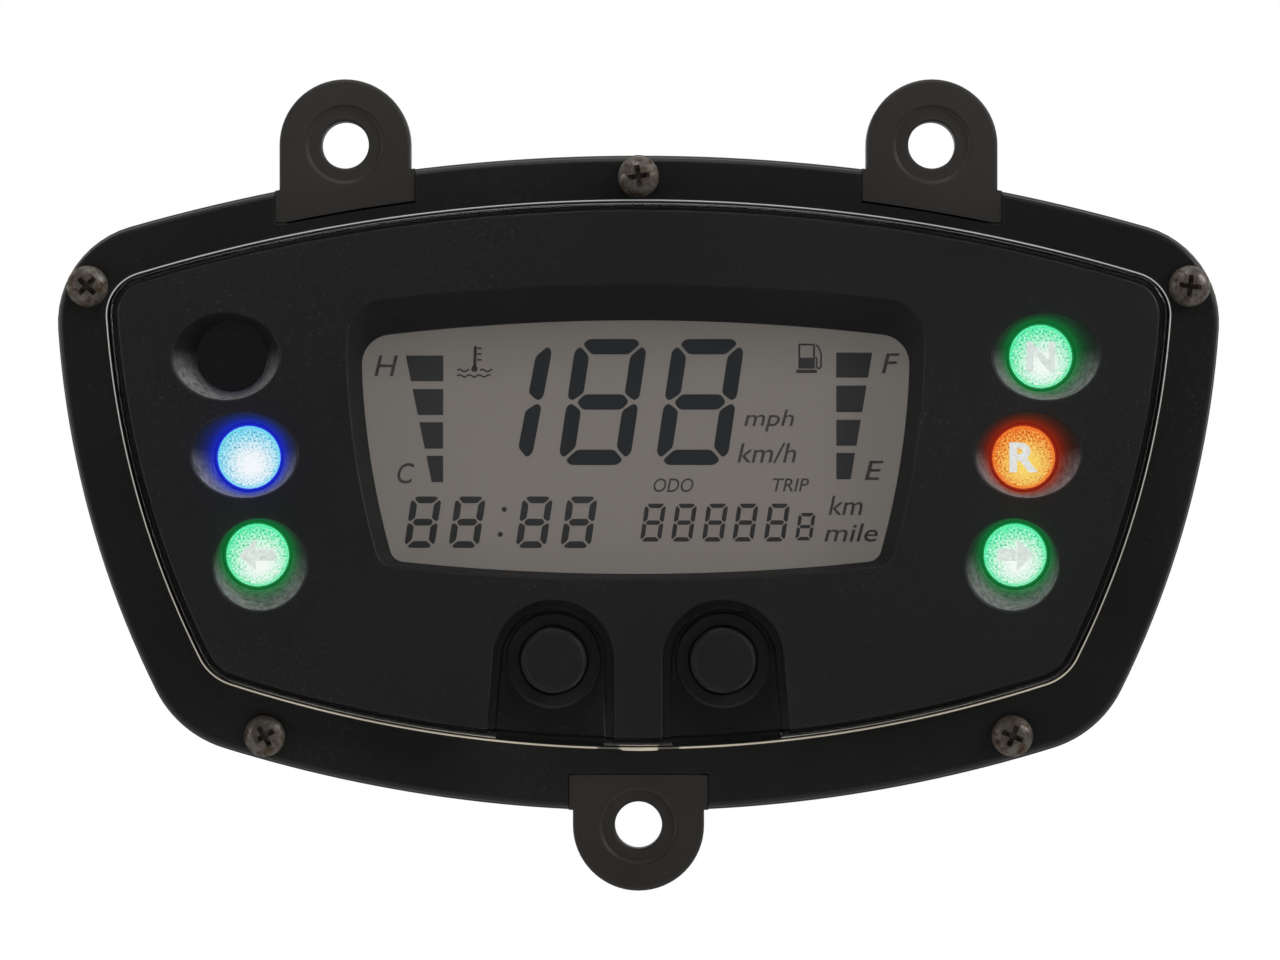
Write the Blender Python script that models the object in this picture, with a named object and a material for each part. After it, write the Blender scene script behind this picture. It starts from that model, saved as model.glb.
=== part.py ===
"""Instrument cluster for a quad bike: an LCD with six tell-tale lamps and two push buttons.

The face looks along -Y, up is +Z, and the three bolt ears lie with their backs on the plane Y = 0.
The origin is on that plane, midway between the upper ear holes and the lower one. All sizes are
in millimetres, and MM turns them into Blender's metres.
"""

import math

import bmesh
import bpy
from mathutils import Matrix, Vector

MM = 0.001

# ---- clearances -------------------------------------------------------------------------------
SEAT_GAP = 0.3  # between two pieces where one rests on the other
SLIDE_GAP = 0.35  # between a moving piece and its guide
SCREW_GAP = 0.25  # round a screw's shank
SEAL_GAP = 0.2  # round the sealing cord in its groove
EDGE_GAP = 0.4  # between nested walls

# ---- overall outline: from the middle out, and the band of bezel left round the lens -----------
HALF_WIDTH = 81.9
HEIGHT_ABOVE = 46.3
HEIGHT_BELOW = 45.8
TOP_RADIUS, BOTTOM_RADIUS, SIDE_RADIUS = 260.0, 196.6, 135.2
CORNERS = 14.0, 15.9
WIDEST_Z = 31.2  # where the sides reach furthest out
LENS_WIDEST_RISE = 1.0  # the lens's sides reach furthest out this much higher
BAND_TOP, BAND_BOTTOM, BAND_SIDE = 6.3, 8.8, 7.3
LENS_TOP_RADIUS, LENS_BOTTOM_RADIUS, LENS_SIDE_RADIUS = 244.0, 186.0, 126.3
LENS_CORNERS = 6.2, 7.3

# ---- bolt ears --------------------------------------------------------------------------------
EAR_SPREAD = 82.2  # between the two upper holes
EAR_OVER = 1.35  # from the outline's top up to the upper holes
EAR_UNDER = 1.85  # from its bottom down to the lower hole
EAR_RADIUS = 9.2
EAR_HOLE = 3.3  # radius, clearance for an M6 bolt
EAR_DEPTH = 5.3
EAR_DISH = 5.3  # radius of the shallow dish round each hole
EAR_DISH_DEPTH = 0.5
EAR_DISH_SLOPE = 0.5
EAR_TAIL = 14.0  # how far an ear runs in towards the case
ROOT_HALF_WIDTH = 9.7  # the ear's root, where it fills the bezel's notch
UPPER_ROOT_FOOT = 9.4  # from the outline's top down to the foot of the upper roots
LOWER_ROOT_FOOT = 5.1

# ---- case, bezel and lens, as depths along Y --------------------------------------------------
FLANGE_FRONT = -2.2
FLANGE_BACK = -0.4  # the ears' backs stand proud of it
FLANGE_EDGE = 0.4
TUB_DEPTH = 20.0
TUB_WALL = 2.0
TUB_DRAFT = 0.8
TUB_ROUNDING = 2.5  # where the tub's inner walls meet its floor
TUB_EASE = 0.1  # the tub's wall stands this far outside the lens's
TUB_EDGE = [(3.5, 0.0), (1.0, 1.4), (0.0, 3.2)]  # height over the tub's back, and inset
GROOVE_LIP = 0.3  # what a boss keeps below the flange's back
BEZEL_FRONT = -5.6
BEZEL_CHAMFER = 0.7
BEZEL_INSET = 0.4  # the bezel's edge stands this far inside the flange's
LENS_REACH = 0.7  # how far the lens's own flange reaches out under the bezel
LENS_REACH_THICK = 1.5
LENS_LINE = 0.25  # the thin line between bezel and lens
LENS_WALL = 1.2
WALL_EASE = 0.2  # keeps the arch's walls inside the lens's outer side
LENS_TOP = -12.5
LENS_TOP_THICK = 1.8
LENS_DRAFT = 0.6
LENS_EDGE = 1.1  # size of the rounded edge round the lens
LENS_EDGE_BREAK = 0.33  # where that edge bends, from either side
ARCH_MASS_EASE = 0.6  # the arch's walls run this far into the lens's top
GROOVE_WIDTH = 1.1
GROOVE_DEPTH = 1.2
GROOVE_INSET = 0.35  # the groove's middle lies this far inside the lens outline
BEZEL_SIDE_WALL = 0.5  # left between the lens's rebate and an ear's notch

# ---- dial mask --------------------------------------------------------------------------------
MASK_FRONT = -9.9
MASK_PLATE = 1.5
MASK_SINK = 0.9  # the wells' walls start this far into the plate
MASK_PAST = 0.6  # how far a cutter runs past the plate and the floors
ARCH_WALL_EASE = 0.3  # keeps the arches' walls inside the skirt's outer side
MASK_SKIRT = 1.2
MASK_EDGE = 0.4
WELL_WALL = 1.0
WELL_FLOOR = -2.9
WINDOW_FLOOR = -4.3
WINDOW_TOP_RADIUS = 300.0
WINDOW_BOTTOM_RADIUS = 320.0
WINDOW_SIDE_RADIUS = 112.0
WINDOW_WIDEST_Z = 20.6
RIM_CORNERS = 5.5, 2.8
BASE_CORNERS = 4.2, 2.1
WINDOW_TOP, WINDOW_BOTTOM, WINDOW_SIDE = 12.2, 23.9, 34.5  # from the lens's edge in to the rim
HOOD_SLOPE, SILL_SLOPE, JAMB_SLOPE = 4.8, 0.7, 1.7  # from the rim in to the glass
ARCH_WALL = 1.6
ARCH_WALL_END = -4.4

# ---- push buttons -----------------------------------------------------------------------------
BUTTON_X = 11.85
BUTTON_RISE = 12.5  # from the lens's bottom edge
BUTTON_TRAVEL = 0.8
CAP_RADIUS = 4.95
CAP_TAPER = 0.85
CAP_FRONT = -9.5
CAP_SHOULDER = -4.6
CAP_EDGE = 0.4
PLUNGER_RADIUS = 2.4
BOOT_LIP = 6.75
BOOT_LIP_RISE = 1.1
BOOT_WALL = 0.6
BOOT_FOOT = 7.0
BOOT_FOOT_THICK = 1.3
ARCH_GAP = 0.35  # between the boot's lip and the lens's pocket round it
ARCH_FLARE = 1.1  # how much the pocket's outer side opens towards its mouth
ARCH_FLOOR_THICK = 1.6
SWITCH_SIZE = 6.0
SWITCH_HEIGHT = 3.7
STEM_RADIUS = 1.7
STEM_LENGTH = 2.6
PLUNGER_REACH = 1.3  # how far in front of the switch the cap's plunger ends

# ---- display ----------------------------------------------------------------------------------
LCD_BORDER = 2.0  # hidden under the mask, on every side
LCD_THICK = 2.6
LCD_FRAME_WALL = 1.2
GUIDE_MARGIN = 2.5
STRIP_HEIGHT = 2.0

# ---- tell-tale lamps: inset from the lens's side, height from the display's middle, how far the
# ---- rim of the well stands off the lamp, and the rim's half width and half height --------------
LAMPS = {
    "upper": {"inset": 17.9, "rise": 12.7, "lean": (0.5, -0.1), "rim": (7.5, 6.1)},
    "middle": {"inset": 20.3, "rise": -1.4, "lean": (0.3, 0.3), "rim": (7.4, 6.0)},
    "lower": {"inset": 21.5, "rise": -15.1, "lean": (-0.7, -1.3), "rim": (6.5, 6.5)},
}
LAMP_NAMES = {
    ("left", "upper"): "spare",
    ("left", "middle"): "high_beam",
    ("left", "lower"): "turn_left",
    ("right", "upper"): "neutral",
    ("right", "middle"): "reverse",
    ("right", "lower"): "turn_right",
}
WELL_RADIUS = 4.9  # at the bottom of a well
DISC_OVERLAP = 0.9  # how far the coloured disc reaches out under the well's floor
DISC_THICK = 1.0
TUBE_LEDGE = 0.3
TUBE_WALL = 1.6
BRIDGE_WIDTH = 6.0
LED_SIZE = 3.0
LED_HEIGHT = 1.8

# ---- circuit board and what it carries ----------------------------------------------------------
BOARD_FRONT = 3.0
BOARD_THICK = 1.6
BOARD_GAP = 0.8
CHIP_X, CHIP_Z = 15.0, 5.0
CHIP_SIZE = 14.0
CHIP_HEIGHT = 1.6
REGULATOR = {"place": (38.0, 8.0), "width": 6.5, "height": 6.1, "thick": 2.3}
CAPACITORS = {
    "main_capacitor": {"place": (-50.0, 6.0), "radius": 4.0, "room": 2.9},
    "filter_capacitor": {"place": (50.0, -8.0), "radius": 3.15, "room": 5.4},
}  # room is what each leaves free below the tub's floor
CONNECTOR_X = -22.0
CONNECTOR_Z = -6.0
CONNECTOR_WALL = 1.5
CONNECTOR_FLOOR = 11.0
CONNECTOR_OUT = 3.5  # how far the shell stands out of the case
PIN_SIZE = 1.0
PIN_PITCH = 4.4
PIN_COLUMNS = 5
PIN_MARGIN = 5.0  # from the outer pins' middles to the shell's outside
PIN_SHORT = 5.0  # the pins' tips stay this far inside the shell's mouth
PIN_POINT = 0.8
PIN_GAP = 0.2
COLLAR_WALL = 1.8
COLLAR_RISE = 1.5

# ---- screws -------------------------------------------------------------------------------------
SIDE_SCREW = 4.8, 27.8  # inset from the outline's side, and height
FOOT_SCREW = 29.6, 10.7  # inset from the outline's side, and rise from its bottom
TOP_SCREW_DROP = 3.15
CASE_SCREW = {"head": 2.9, "rise": 1.9, "shank": 1.4, "length": 12.4, "slot": 0.8, "reach": 1.65}
BOSS_WALL = 1.6
BOSS_LENGTH = 9.0
BOARD_SCREW = {"head": 2.3, "rise": 1.5, "shank": 1.0, "length": 6.3, "slot": 0.6, "reach": 1.3}
UPPER_BOARD_SCREW = 30.0, 9.0  # across, and in from the lens's edge
LOWER_BOARD_SCREW = 40.0, 13.0
STANDOFF_WALL = 1.75
SCREW_POINT = 1.0
BORE_REST = 1.5  # left below a screw's tip

ROUND_STEPS = 24
SMALL_STEPS = 12
SINK = 1.0  # how far a joined shape runs into what carries it, or a cutter past what it cuts
TRIM = 0.05  # keeps a trimmed face off the face beside it
SIDES = {"left": -1, "right": 1}

# ---- what follows from the dimensions above -------------------------------------------------------
LENS_HALF_WIDTH = HALF_WIDTH - BAND_SIDE
LENS_ABOVE = HEIGHT_ABOVE - BAND_TOP
LENS_BELOW = HEIGHT_BELOW - BAND_BOTTOM
UPPER_EAR_Z = HEIGHT_ABOVE + EAR_OVER
LOWER_EAR_Z = -HEIGHT_BELOW - EAR_UNDER
EARS = [(-EAR_SPREAD / 2, UPPER_EAR_Z), (EAR_SPREAD / 2, UPPER_EAR_Z), (0.0, LOWER_EAR_Z)]
BEZEL_BACK = LENS_BACK = FLANGE_FRONT - SEAT_GAP
LENS_REACH_FRONT = LENS_BACK - LENS_REACH_THICK
REBATE = LENS_REACH + SEAT_GAP
REBATE_FLOOR = LENS_REACH_FRONT - SEAT_GAP
NOTCH_LIMIT = REBATE + BEZEL_SIDE_WALL
LENS_INNER = LENS_LINE + LENS_WALL
MASK_OUTER = LENS_INNER + EDGE_GAP
MASK_FRONT_OUTER = MASK_OUTER + LENS_DRAFT
TUB_INNER = LENS_INNER - TUB_EASE
TUB_FLOOR = TUB_DEPTH - TUB_WALL
BOARD_OUTER = TUB_INNER + BOARD_GAP
BOARD_BACK = BOARD_FRONT + BOARD_THICK
ON_BOARD = BOARD_FRONT - SEAT_GAP
BEHIND_BOARD = BOARD_BACK + SEAT_GAP
BUTTON_Z = BUTTON_RISE - LENS_BELOW
BUTTONS = {side: (sign * BUTTON_X, BUTTON_Z) for side, sign in SIDES.items()}
ARCH_RADIUS = BOOT_LIP + ARCH_GAP
ARCH_FLOOR = BEZEL_FRONT
ARCH_UNDERSIDE = ARCH_FLOOR + ARCH_FLOOR_THICK
MASK_ARCH = ARCH_RADIUS + LENS_WALL + EDGE_GAP
BOOT_BORE = CAP_RADIUS + SLIDE_GAP
BOOT_NECK = BOOT_BORE + BOOT_WALL
BOOT_LIP_BACK = ARCH_FLOOR - SEAT_GAP
BOOT_FOOT_FRONT = ARCH_UNDERSIDE + SEAT_GAP
SWITCH_FRONT = ON_BOARD - SWITCH_HEIGHT
PLUNGER_END = SWITCH_FRONT - PLUNGER_REACH
STEM_FRONT = PLUNGER_END + SEAT_GAP
LCD_FRONT = WINDOW_FLOOR + SEAT_GAP
LCD_BACK = LCD_FRONT + LCD_THICK
UNDER_GLASS = LCD_BACK + SEAT_GAP
DISC_FRONT = WELL_FLOOR + SEAT_GAP
DISC_RADIUS = WELL_RADIUS + DISC_OVERLAP
TUBE_FRONT = DISC_FRONT + DISC_THICK + SEAT_GAP
TUBE_INNER = WELL_RADIUS - TUBE_LEDGE
TUBE_OUTER = TUBE_INNER + TUBE_WALL
CONNECTOR_END = TUB_DEPTH + CONNECTOR_OUT
CONNECTOR_WIDTH = (PIN_COLUMNS - 1) * PIN_PITCH + 2 * PIN_MARGIN
CONNECTOR_HEIGHT = PIN_PITCH + 2 * PIN_MARGIN
PIN_TIP = CONNECTOR_END - PIN_SHORT
CASE_BORE = CASE_SCREW["shank"] + SCREW_GAP
BOARD_BORE = BOARD_SCREW["shank"] + SCREW_GAP
CASE_SCREW_SEAT = BEZEL_FRONT - SEAT_GAP
CASE_BORE_END = CASE_SCREW_SEAT + CASE_SCREW["length"] + BORE_REST
BOARD_BORE_END = ON_BOARD + BOARD_SCREW["length"] + BORE_REST
CASE_SCREWS = {"top": (0.0, HEIGHT_ABOVE - TOP_SCREW_DROP)}
BOARD_SCREWS = {}
for side_name, side_sign in SIDES.items():
    CASE_SCREWS[f"upper_{side_name}"] = side_sign * (HALF_WIDTH - SIDE_SCREW[0]), SIDE_SCREW[1]
    CASE_SCREWS[f"lower_{side_name}"] = side_sign * (HALF_WIDTH - FOOT_SCREW[0]), FOOT_SCREW[1] - HEIGHT_BELOW
    BOARD_SCREWS[f"upper_{side_name}"] = side_sign * UPPER_BOARD_SCREW[0], LENS_ABOVE - UPPER_BOARD_SCREW[1]
    BOARD_SCREWS[f"lower_{side_name}"] = side_sign * LOWER_BOARD_SCREW[0], LOWER_BOARD_SCREW[1] - LENS_BELOW


# ---- outlines ---------------------------------------------------------------------------------
class Outline:
    """A shape of four large arcs with rounded corners, the same left and right.

    The top and bottom arcs are centred on X = 0. Each side arc is centred at the height
    side_z and reaches furthest out at side. An offset moves every arc out along its own
    radius, so two offsets of one outline match point by point.
    """

    TOP_STEPS, CORNER_STEPS, SIDE_STEPS = 6, 4, 4

    def __init__(self, top, top_radius, bottom, bottom_radius, side, side_radius, side_z, corners):
        self.top = (0.0, top - top_radius), top_radius
        self.bottom = (0.0, bottom + bottom_radius), bottom_radius
        self.side = (side - side_radius, side_z), side_radius
        self.corners = corners

    @staticmethod
    def meet(first, second, corner):
        """Centre of the corner's arc, which touches both of the larger ones from inside."""
        (centre_a, radius_a), (centre_b, radius_b) = first, second
        a, b = Vector(centre_a), Vector(centre_b)
        reach_a, reach_b = radius_a - corner, radius_b - corner
        between = b - a
        along = (reach_a**2 - reach_b**2 + between.length_squared) / (2 * between.length)
        aside = math.sqrt(reach_a**2 - along**2)
        unit = between.normalized()
        normal = Vector((-unit.y, unit.x))
        return max((a + unit * along + normal * aside * s for s in (-1, 1)), key=lambda p: p.x)

    def points(self, offset=0.0):
        """(x, z) round the shape, clockwise from the middle of the top."""
        upper, lower = self.corners
        upper_centre = self.meet(self.top, self.side, upper)
        lower_centre = self.meet(self.bottom, self.side, lower)

        def bearing(arc, point):
            return math.atan2(point.y - arc[0][1], point.x - arc[0][0])

        stops = [
            (self.top, math.pi / 2, bearing(self.top, upper_centre), self.TOP_STEPS),
            ((upper_centre, upper), None, bearing(self.side, upper_centre), self.CORNER_STEPS),
            (self.side, None, bearing(self.side, lower_centre), self.SIDE_STEPS),
            ((lower_centre, lower), None, bearing(self.bottom, lower_centre), self.CORNER_STEPS),
            (self.bottom, None, -math.pi / 2, self.TOP_STEPS),
        ]
        half, start = [], None
        for (centre, radius), first, last, steps in stops:
            start = first if start is None else start
            for i in range(steps):
                angle = start + (last - start) * i / steps
                reach = radius + offset
                half.append((centre[0] + reach * math.cos(angle), centre[1] + reach * math.sin(angle)))
            start = last
        bottom_centre, bottom_radius = self.bottom
        half.append((0.0, bottom_centre[1] - bottom_radius - offset))
        return half + [(-x, z) for x, z in half[-2:0:-1]]

    def at(self, depth, offset=0.0):
        return [(x, depth, z) for x, z in self.points(offset)]


FLANGE = Outline(HEIGHT_ABOVE, TOP_RADIUS, -HEIGHT_BELOW, BOTTOM_RADIUS,
                 HALF_WIDTH, SIDE_RADIUS, WIDEST_Z, CORNERS)
LENS = Outline(LENS_ABOVE, LENS_TOP_RADIUS, -LENS_BELOW, LENS_BOTTOM_RADIUS,
               LENS_HALF_WIDTH, LENS_SIDE_RADIUS, WIDEST_Z + LENS_WIDEST_RISE, LENS_CORNERS)
RIM_ABOVE = LENS_ABOVE - WINDOW_TOP
RIM_BELOW = LENS_BELOW - WINDOW_BOTTOM
RIM_SIDE = LENS_HALF_WIDTH - WINDOW_SIDE
WINDOW_RIM = Outline(RIM_ABOVE, WINDOW_TOP_RADIUS, -RIM_BELOW, WINDOW_BOTTOM_RADIUS,
                     RIM_SIDE, WINDOW_SIDE_RADIUS, WINDOW_WIDEST_Z, RIM_CORNERS)
WINDOW_BASE = Outline(RIM_ABOVE - HOOD_SLOPE, WINDOW_TOP_RADIUS, SILL_SLOPE - RIM_BELOW, WINDOW_BOTTOM_RADIUS,
                      RIM_SIDE - JAMB_SLOPE, WINDOW_SIDE_RADIUS, WINDOW_WIDEST_Z, BASE_CORNERS)
LCD_HEIGHT = RIM_ABOVE - HOOD_SLOPE + RIM_BELOW - SILL_SLOPE + 2 * LCD_BORDER
LCD_WIDTH = 2 * (RIM_SIDE - JAMB_SLOPE + LCD_BORDER)
LCD_Z = (RIM_ABOVE - HOOD_SLOPE - RIM_BELOW + SILL_SLOPE) / 2
GUIDE_WIDTH = LCD_WIDTH - 2 * GUIDE_MARGIN


def lamp_place(side, row):
    lamp = LAMPS[row]
    return SIDES[side] * (LENS_HALF_WIDTH - lamp["inset"]), LCD_Z + lamp["rise"]


def ellipse(centre, half_width, half_height, depth, steps=ROUND_STEPS):
    """Points round an ellipse, none of them on its own upright or level line."""
    x, z = centre
    angles = [2 * math.pi * (i + 0.5) / steps for i in range(steps)]
    return [(x + half_width * math.cos(a), depth, z + half_height * math.sin(a)) for a in angles]


def circle(centre, radius, depth, steps=ROUND_STEPS):
    return ellipse(centre, radius, radius, depth, steps)


def arch(side, radius, depth, steps=12):
    """An arch over a button: half round above it, straight inside, flared outside, open below."""
    foot = -LENS_BELOW - 20.0
    flare = ARCH_FLARE * (BUTTON_Z - foot) / BUTTON_RISE
    angles = [math.pi * i / steps for i in range(steps + 1)]
    points = [(BUTTON_X + radius * math.cos(a), BUTTON_Z + radius * math.sin(a)) for a in angles]
    points += [(BUTTON_X - radius, foot), (BUTTON_X + radius + flare, foot)]
    return [(SIDES[side] * x, depth, z) for x, z in points]


def ear_tongue(centre, depth, steps=16):
    """A round-ended tongue from beyond an ear's hole in towards the case."""
    x, z = centre
    out = 1 if z > 0 else -1
    angles = [math.pi * i / steps for i in range(steps + 1)]
    points = [(x + EAR_RADIUS * math.cos(a), z + out * EAR_RADIUS * math.sin(a)) for a in angles]
    points += [(x - EAR_RADIUS, z - out * EAR_TAIL), (x + EAR_RADIUS, z - out * EAR_TAIL)]
    return [(px, depth, pz) for px, pz in points]


# ---- building solids: these work in millimetres, and complete() turns them into metres -----------
def finish(bm, name):
    bmesh.ops.recalc_face_normals(bm, faces=bm.faces)
    mesh = bpy.data.meshes.new(name)
    bm.to_mesh(mesh)
    bm.free()
    obj = bpy.data.objects.new(name, mesh)
    bpy.context.scene.collection.objects.link(obj)
    return obj


def loft(name, loops, endless=False):
    """Skin over loops of equally many points. The ends are capped, or joined if it is endless."""
    bm = bmesh.new()
    rings = [[bm.verts.new(point) for point in loop] for loop in loops]
    following = rings[1:] + rings[:1] if endless else rings[1:]
    for ring, other in zip(rings, following):
        for i in range(len(ring)):
            j = (i + 1) % len(ring)
            bm.faces.new((ring[i], ring[j], other[j], other[i]))
    if not endless:
        bm.faces.new(rings[0])
        bm.faces.new(rings[-1])
    return finish(bm, name)


def block(name, x, y, z):
    """A box between two values on each axis."""
    corners = [(x[0], z[0]), (x[1], z[0]), (x[1], z[1]), (x[0], z[1])]
    return loft(name, [[(cx, depth, cz) for cx, cz in corners] for depth in y])


def centred_block(name, centre, width, height, y):
    x, z = centre
    return block(name, (x - width / 2, x + width / 2), y, (z - height / 2, z + height / 2))


def turned(name, centre, profile, steps=ROUND_STEPS, endless=False):
    """A round piece on an axis along Y, from (radius, depth) pairs."""
    return loft(name, [circle(centre, radius, depth, steps) for radius, depth in profile], endless)


def rod(name, centre, radius, front, back, steps=SMALL_STEPS):
    return turned(name, centre, [(radius, front), (radius, back)], steps)


def combine(target, operation, *tools):
    """Joins, cuts or trims target with the tools, which it uses up."""
    for tool in tools:
        modifier = target.modifiers.new(operation, "BOOLEAN")
        modifier.operation = operation
        modifier.object = tool
    graph = bpy.context.evaluated_depsgraph_get()
    mesh = bpy.data.meshes.new_from_object(target.evaluated_get(graph))
    target.modifiers.clear()
    target.data = mesh
    mesh.name = target.name
    for tool in tools:
        bpy.data.objects.remove(tool)
    return target


def join(target, *tools):
    return combine(target, "UNION", *tools)


def cut(target, *tools):
    return combine(target, "DIFFERENCE", *tools)


def trim(target, *tools):
    return combine(target, "INTERSECT", *tools)


# ---- materials: colour, roughness, metallic --------------------------------------------------------
FINISHES = {
    "case_plastic": ((0.016, 0.015, 0.014), 0.55, 0.0),
    "bezel_plastic": ((0.010, 0.010, 0.010), 0.35, 0.0),
    "mask_plastic": ((0.011, 0.011, 0.011), 0.6, 0.0),
    "clear_plastic": ((0.85, 0.88, 0.88), 0.05, 0.0),
    "black_rubber": ((0.012, 0.012, 0.012), 0.7, 0.0),
    "screw_steel": ((0.30, 0.27, 0.23), 0.4, 1.0),
    "lcd_glass": ((0.30, 0.29, 0.25), 0.15, 0.0),
    "lamp_blue": ((0.02, 0.10, 0.95), 0.3, 0.0),
    "lamp_green": ((0.0, 0.75, 0.25), 0.3, 0.0),
    "lamp_red": ((0.95, 0.12, 0.02), 0.3, 0.0),
    "lamp_dark": ((0.015, 0.015, 0.02), 0.4, 0.0),
    "white_plastic": ((0.75, 0.75, 0.72), 0.5, 0.0),
    "board_green": ((0.01, 0.10, 0.05), 0.4, 0.0),
    "pin_brass": ((0.75, 0.60, 0.25), 0.3, 1.0),
    "chip_black": ((0.02, 0.02, 0.02), 0.5, 0.0),
    "capacitor_foil": ((0.35, 0.36, 0.40), 0.35, 0.6),
}
LAMP_FINISHES = {
    "spare": "lamp_dark",
    "high_beam": "lamp_blue",
    "turn_left": "lamp_green",
    "neutral": "lamp_green",
    "reverse": "lamp_red",
    "turn_right": "lamp_green",
}


def complete(obj, finish_name, origin=(0.0, 0.0)):
    """Gives a piece its material, its size in metres, and its own origin at (x, z) on Y = 0."""
    x, z = origin
    obj.data.transform(Matrix.Scale(MM, 4) @ Matrix.Translation((-x, 0.0, -z)))
    obj.location = (x * MM, 0.0, z * MM)
    colour, roughness, metallic = FINISHES[finish_name]
    material = bpy.data.materials.get(finish_name) or bpy.data.materials.new(finish_name)
    material.use_nodes = True
    shader = material.node_tree.nodes["Principled BSDF"]
    shader.inputs["Base Color"].default_value = (*colour, 1.0)
    shader.inputs["Roughness"].default_value = roughness
    shader.inputs["Metallic"].default_value = metallic
    obj.data.materials.clear()
    obj.data.materials.append(material)
    obj.data.shade_smooth()
    obj.data.set_sharp_from_angle(angle=math.radians(35))
    return obj


# ---- case, bezel, lens and seal ----------------------------------------------------------------
def make_ear(centre):
    """An ear and its root, kept outside the lens so that the bezel's notch fits round it."""
    x, z = centre
    depths = (-EAR_DEPTH, 0.0)
    past = (-EAR_DEPTH - 1.0, 1.0)
    foot = (HEIGHT_ABOVE - UPPER_ROOT_FOOT, z) if z > 0 else (z, LOWER_ROOT_FOOT - HEIGHT_BELOW)
    outer = (foot[0], z + 2 * EAR_RADIUS) if z > 0 else (z - 2 * EAR_RADIUS, foot[1])
    across = (x - ROOT_HALF_WIDTH, x + ROOT_HALF_WIDTH)
    ear = loft("ear", [ear_tongue(centre, y) for y in depths])
    trim(ear, block("reach", across, past, outer))
    root = block("root", across, depths, foot)
    trim(root, loft("edge", [FLANGE.at(y, -TRIM) for y in past]))
    join(ear, root)
    return cut(ear, loft("lens_side", [LENS.at(y, NOTCH_LIMIT + SEAT_GAP) for y in past]))


def make_case():
    outer = TUB_WALL - TUB_INNER
    groove, half_groove, groove_floor = -GROOVE_INSET, GROOVE_WIDTH / 2, FLANGE_FRONT + GROOVE_DEPTH
    case = loft(
        "rear_case",
        [
            LENS.at(TUB_FLOOR, -TUB_INNER - TUB_DRAFT - TUB_ROUNDING),
            LENS.at(TUB_FLOOR - TUB_ROUNDING, -TUB_INNER - TUB_DRAFT),
            LENS.at(FLANGE_FRONT, -TUB_INNER),
            LENS.at(FLANGE_FRONT, groove - half_groove),
            LENS.at(groove_floor, groove - half_groove),
            LENS.at(groove_floor, groove + half_groove),
            LENS.at(FLANGE_FRONT, groove + half_groove),
            FLANGE.at(FLANGE_FRONT),
            FLANGE.at(FLANGE_BACK - FLANGE_EDGE),
            FLANGE.at(FLANGE_BACK, -FLANGE_EDGE),
            LENS.at(FLANGE_BACK, outer),
            *[LENS.at(TUB_DEPTH - height, outer - TUB_DRAFT - inset) for height, inset in TUB_EDGE],
        ],
    )
    boss, standoff = CASE_BORE + BOSS_WALL, BOARD_BORE + STANDOFF_WALL
    boss_start = FLANGE_BACK - GROOVE_LIP
    bosses = [rod("boss", place, boss, boss_start, BOSS_LENGTH) for place in CASE_SCREWS.values()]
    standoffs = [
        rod("standoff", place, standoff, BEHIND_BOARD, TUB_FLOOR + SINK) for place in BOARD_SCREWS.values()
    ]
    socket = (CONNECTOR_X, CONNECTOR_Z)
    opening = (CONNECTOR_WIDTH + 2 * SEAT_GAP, CONNECTOR_HEIGHT + 2 * SEAT_GAP)
    collar = (opening[0] + 2 * COLLAR_WALL, opening[1] + 2 * COLLAR_WALL)
    join(case, *bosses, *standoffs, *map(make_ear, EARS),
         centred_block("collar", socket, *collar, (TUB_DEPTH - SINK, TUB_DEPTH + COLLAR_RISE)))
    cut(case, centred_block("opening", socket, *opening, (TUB_FLOOR - SINK, TUB_DEPTH + COLLAR_RISE + SINK)))
    for place in EARS:
        dish = [(EAR_DISH + EAR_DISH_SLOPE, -EAR_DEPTH - EAR_DISH_DEPTH),
                (EAR_DISH - EAR_DISH_SLOPE, -EAR_DEPTH + EAR_DISH_DEPTH)]
        cut(case, turned("dish", place, dish))
        cut(case, rod("hole", place, EAR_HOLE, -EAR_DEPTH - SINK, SINK, ROUND_STEPS))
    for place in CASE_SCREWS.values():
        cut(case, rod("bore", place, CASE_BORE, FLANGE_FRONT - SINK, CASE_BORE_END))
    for place in BOARD_SCREWS.values():
        cut(case, rod("bore", place, BOARD_BORE, BOARD_BACK - SINK, BOARD_BORE_END))
    return complete(case, "case_plastic")


def make_bezel():
    outer = -BEZEL_INSET
    bezel = loft(
        "front_bezel",
        [
            FLANGE.at(BEZEL_BACK, outer),
            FLANGE.at(BEZEL_FRONT + BEZEL_CHAMFER, outer),
            FLANGE.at(BEZEL_FRONT, outer - BEZEL_CHAMFER),
            LENS.at(BEZEL_FRONT),
            LENS.at(REBATE_FLOOR),
            LENS.at(REBATE_FLOOR, REBATE),
            LENS.at(BEZEL_BACK, REBATE),
        ],
        endless=True,
    )
    past = (BEZEL_FRONT - 1, 0.0)
    for x, z in EARS:
        half = ROOT_HALF_WIDTH + SEAT_GAP
        upper_foot = HEIGHT_ABOVE - UPPER_ROOT_FOOT - SEAT_GAP
        lower_foot = LOWER_ROOT_FOOT - HEIGHT_BELOW + SEAT_GAP
        height = (upper_foot, z + EAR_RADIUS) if z > 0 else (z - EAR_RADIUS, lower_foot)
        notch = block("notch", (x - half, x + half), past, height)
        cut(notch, loft("lens_side", [LENS.at(y, NOTCH_LIMIT) for y in (past[0] - 1, past[1] + 1)]))
        cut(bezel, notch)
    cut(bezel, *[rod("bore", place, CASE_BORE, BEZEL_FRONT - 1, 0.0) for place in CASE_SCREWS.values()])
    return complete(bezel, "bezel_plastic")


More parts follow.
